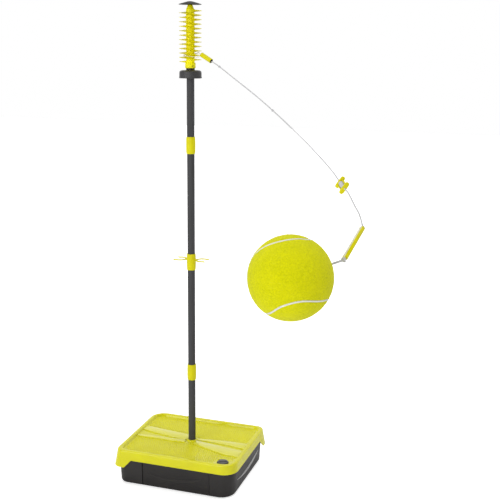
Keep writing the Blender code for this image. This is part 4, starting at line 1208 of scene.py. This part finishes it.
def make_filler():
    low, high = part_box("filler_neck")
    place = Matrix.Translation(FILLER_AT)
    turned("filler_collar", [
        (0.0148, high.z), (0.0215, high.z), (0.0215, TRAY_TOP + 0.0003),
        (0.0173, TRAY_TOP + 0.0003),
        (0.0173, low.z), (0.0148, low.z)], BLACK, "lid", ["filler_neck"], place, 64, True)
    low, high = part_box("plug_seal")
    turned("seal_ring", [(0.0152, high.z), (0.0186, high.z), (0.0186, low.z), (0.0152, low.z)],
           BLACK_RUBBER, "plug", ["plug_seal"], place, 64, True, 0.0003)
    low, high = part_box("filler_plug")
    foot = high.z - 0.005
    turned("plug_disc", [
        (0, foot + 0.0022), (0.0172, foot + 0.0022), (0.0188, foot + 0.0015), (0.019, foot),
        (0.0144, foot), (0.0144, low.z), (0, low.z)],
        PLUG_GREY_PAINTED_REFLECTION, "plug", ["filler_plug"], place, ease=0.0005)
    turn = place @ Matrix.Rotation(math.radians(20), 4, "Z")
    mesh = prism("plug_grip_bar", oblong(-0.0155, 0.0155, 0.0033), foot + 0.0018, high.z, turn,
                 0.0012, 0.0006)
    piece("plug_grip_bar", mesh, PLUG_GREY_PAINTED_REFLECTION, "plug")


make_lid_shell()
make_lid_pads()
make_tread_plates()
make_tread()
make_filler()

# ---------------------------------------------------------------- tub
TUB_HIGH_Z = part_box("base_tub")[1].z
TUB_BOTTOM = (0.442, 0.366)
TUB_TOP = (0.4558, 0.372)
TUB_FILLET = 0.012
TUB_WALL = 0.0055
BOSS_TOP = 0.012
PANEL_MIDDLE = 0.007
PANEL_WIDTH = 0.266
PANEL_SETBACK = 0.0024
GROOVE_WIDTH = 0.0042     # the line pressed in at each end of a panel
GROOVE_DEPTH = 0.0022
BAND_Z = 0.045


def tub_size(height):
    share = height / (LID_TOP - LID_WALL)
    return tuple(low + (high - low) * share for low, high in zip(TUB_BOTTOM, TUB_TOP))


def tub_ring(inset, height):
    width, depth = tub_size(height)
    corners = (DEEP_CORNER - inset, LID_CORNER - inset)
    sides = ((LID_CORNER + 0.02,), (LID_CORNER + 0.02,))
    points = rounded_rectangle(width - 2 * inset, depth - 2 * inset, corners, sides)
    return [Vector((p.x, p.y, height)) for p in points]


def wall_lean(axis):
    return math.atan2((TUB_TOP[axis] - TUB_BOTTOM[axis]) / 2, LID_TOP - LID_WALL)


def make_tub():
    steps = [math.pi / 2 * step / 7 for step in range(8)]
    rings = []
    for angle in steps:
        rings.append(tub_ring(TUB_FILLET * (1 - math.sin(angle)),
                              TUB_FILLET * (1 - math.cos(angle))))
    rings += [tub_ring(0, 0.06), tub_ring(0, TUB_HIGH_Z), tub_ring(TUB_WALL, TUB_HIGH_Z),
              tub_ring(TUB_WALL, 0.06)]
    inner = TUB_FILLET - TUB_WALL
    for angle in reversed(steps):
        inset = TUB_WALL + inner * (1 - math.sin(angle))
        rings.append(tub_ring(inset, TUB_WALL + inner * (1 - math.cos(angle))))
    tub = piece("tub_shell", loft("tub_shell", rings), TUB_BLACK, "base", ["base_tub"])
    lean = wall_lean(1)
    for side in (-1, 1):
        wall = side * tub_size(LID_TOP / 2)[1] / 2
        place = Matrix.Translation((PANEL_MIDDLE, wall, LID_TOP / 2))
        place = place @ Matrix.Rotation(math.pi / 2 - side * lean, 4, "X")
        half = PANEL_WIDTH / 2
        deep = PANEL_SETBACK + GROOVE_DEPTH
        for left, right, sunk in ((-half, half, PANEL_SETBACK),
                                  (half - GROOVE_WIDTH, half + 0.0002, deep),
                                  (-half - 0.0002, GROOVE_WIDTH - half, deep)):
            depth = (-sunk, 0.012) if side < 0 else (-0.012, sunk)
            cut(tub, prism("panel", oblong(left, right, 0.12), *depth, place, 0.0001), "panel")
    turned("tub_boss", [
        (0, BOSS_TOP), (0.05, BOSS_TOP), (0.053, TUB_WALL - 0.0005), (0, TUB_WALL - 0.0005)],
        TUB_BLACK, "base", (), None, 72, ease=0.0015)


def make_stripes():
    """Plain tapering bands on the tub's walls: pale grey on its ends as a painted reflection of
    light, black on its long sides.
    """
    ends = tub_size(BAND_Z)
    for side in (-1, 1):
        for name, turn, lean, reach, half, rise, finish in (
                ("end", math.pi / 2, wall_lean(0), ends[0] / 2, 0.125, 0.006, STRIPE_PAINTED_REFLECTION),
                ("long", math.pi, wall_lean(1), ends[1] / 2 - PANEL_SETBACK, 0.105, 0.004,
                 TUB_BLACK)):
            spin = Matrix.Rotation(turn if side > 0 else turn + math.pi, 4, "Z")
            place = spin @ Matrix.Translation((0, -reach, BAND_Z))
            place = place @ Matrix.Rotation(math.pi / 2 + lean, 4, "X")
            steps = 24
            upper = []
            lower = []
            for step in range(steps + 1):
                share = step / steps
                x = (2 * share - 1) * half
                bow = 0.016 * (2 * share - 0.9) ** 2
                thick = 0.0007 + rise * math.sin(math.pi * share ** 1.6) ** 0.8
                upper.append((x, bow + thick - 0.004))
                lower.append((x, bow - thick - 0.004))
            bm = bmesh.new()
            rows = []
            for out in (-0.001, 0.0006):
                rows.append([bm.verts.new((x, y, out)) for x, y in upper + lower[::-1]])
            bridge(bm, rows, capped=False)
            fill_band(bm, rows[0])
            fill_band(bm, rows[1])
            label = f"tub_{name}_band_{'plus' if side > 0 else 'minus'}"
            piece(label, mesh_of(bm, label, place), finish, "base")


make_tub()
make_stripes()


# ---------------------------------------------------------------- socket and screws
POLE_FOOT_Z = 0.0165


def make_socket():
    low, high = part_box("pole_socket")
    turned("socket_cup", [
        (TUBE_BORE, high.z), (0.0178, high.z), (0.0215, low.z + 0.012), (0.024, low.z + 0.004),
        (0.046, low.z + 0.004), (0.046, low.z), (0, low.z), (0, POLE_FOOT_Z),
        (TUBE_BORE, POLE_FOOT_Z)], BLACK, "base", ["pole_socket"], None, 72, ease=0.0008)
    for number in range(1, 5):
        low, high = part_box(f"socket_screw_{number}")
        middle = (low + high) / 2
        place = Matrix.Translation((middle.x, middle.y, 0))
        seat = high.z - 0.0026
        turned(f"screw_{number}", [
            (0, high.z), (0.003, high.z - 0.0003), (0.0041, seat + 0.0008), (0.0041, seat),
            (0.0019, seat), (0.0019, low.z + 0.001), (0, low.z)],
            STEEL, "base", [f"socket_screw_{number}"], place, 32, ease=0.0003)


make_socket()

# ---------------------------------------------------------------- pieces that keep their CAD shape
for name, finish in (("ball_core", BLACK_RUBBER), ("ball_stop", CORD), ("button_spring", STEEL),
                     ("swivel_bead", STEEL)):
    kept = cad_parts[name]
    kept.data.materials.clear()
    kept.data.materials.append(finish)


# ---------------------------------------------------------------- ground and light
FLOOR_Z = -0.0006
FLOOR_GLOW = 0.6       # seen by the camera only, so that the floor is nearly white
SUNS = [("key", (-2.0, -3.8, 1.1), 1.15, 40), ("front", (0.6, -3.6, 0.15), 0.72, 30),
        ("top", (0.1, 0.2, 3.0), 0.95, 60)]


def make_ground():
    bm = bmesh.new()
    bmesh.ops.create_grid(bm, x_segments=2, y_segments=2, size=14.0)
    mesh = mesh_of(bm, "floor")
    made, tree, shader, where = blank("pale_floor", 0.75, Specular_IOR_Level=0.2)
    cloud = remap(tree, noise(tree, where, 2.5, 3.0), 0.3, 0.7, 0.0, 1.0)
    tree.links.new(blend_colours(tree, cloud, (0.9, 0.9, 0.9), (0.885, 0.885, 0.885)),
                   shader.inputs["Base Color"])
    seen = node(tree, "ShaderNodeLightPath").outputs["Is Camera Ray"]
    glow = node(tree, "ShaderNodeMath", {0: seen, 1: FLOOR_GLOW},
                operation="MULTIPLY").outputs["Value"]
    shader.inputs["Emission Color"].default_value = (1, 1, 1, 1)
    tree.links.new(glow, shader.inputs["Emission Strength"])
    mesh.materials.append(made)
    floor = bpy.data.objects.new("floor", mesh)
    floor.location.z = FLOOR_Z
    bpy.context.scene.collection.objects.link(floor)


def soft_sun(name, source, strength, spread):
    """Even light from one side, as from a large softbox: spread is its width in degrees."""
    light = bpy.data.lights.new(name, "SUN")
    light.energy = strength
    light.angle = math.radians(spread)
    obj = bpy.data.objects.new(name, light)
    obj.rotation_euler = Vector(source).to_track_quat("Z", "Y").to_euler()
    bpy.context.scene.collection.objects.link(obj)


def make_light():
    world = bpy.data.worlds.new("studio")
    world.use_nodes = True
    bpy.context.scene.world = world
    tree = world.node_tree
    background = tree.nodes["Background"]
    direction = node(tree, "ShaderNodeTexCoord").outputs["Generated"]
    away = node(tree, "ShaderNodeSeparateXYZ", {"Vector": direction}).outputs["Y"]
    lit = remap(tree, away, -0.25, 0.45, 0.3, 0.95)
    seen = node(tree, "ShaderNodeLightPath").outputs["Is Camera Ray"]
    strength = node(tree, "ShaderNodeMix", {"Factor": seen, "A": lit, "B": 1.0}, data_type="FLOAT")
    background.inputs["Color"].default_value = (1, 1, 1, 1)
    tree.links.new(strength.outputs["Result"], background.inputs["Strength"])
    for name, source, strength, spread in SUNS:
        soft_sun(name, source, strength, spread)
    bpy.context.scene.view_settings.view_transform = "Standard"


make_ground()
make_light()
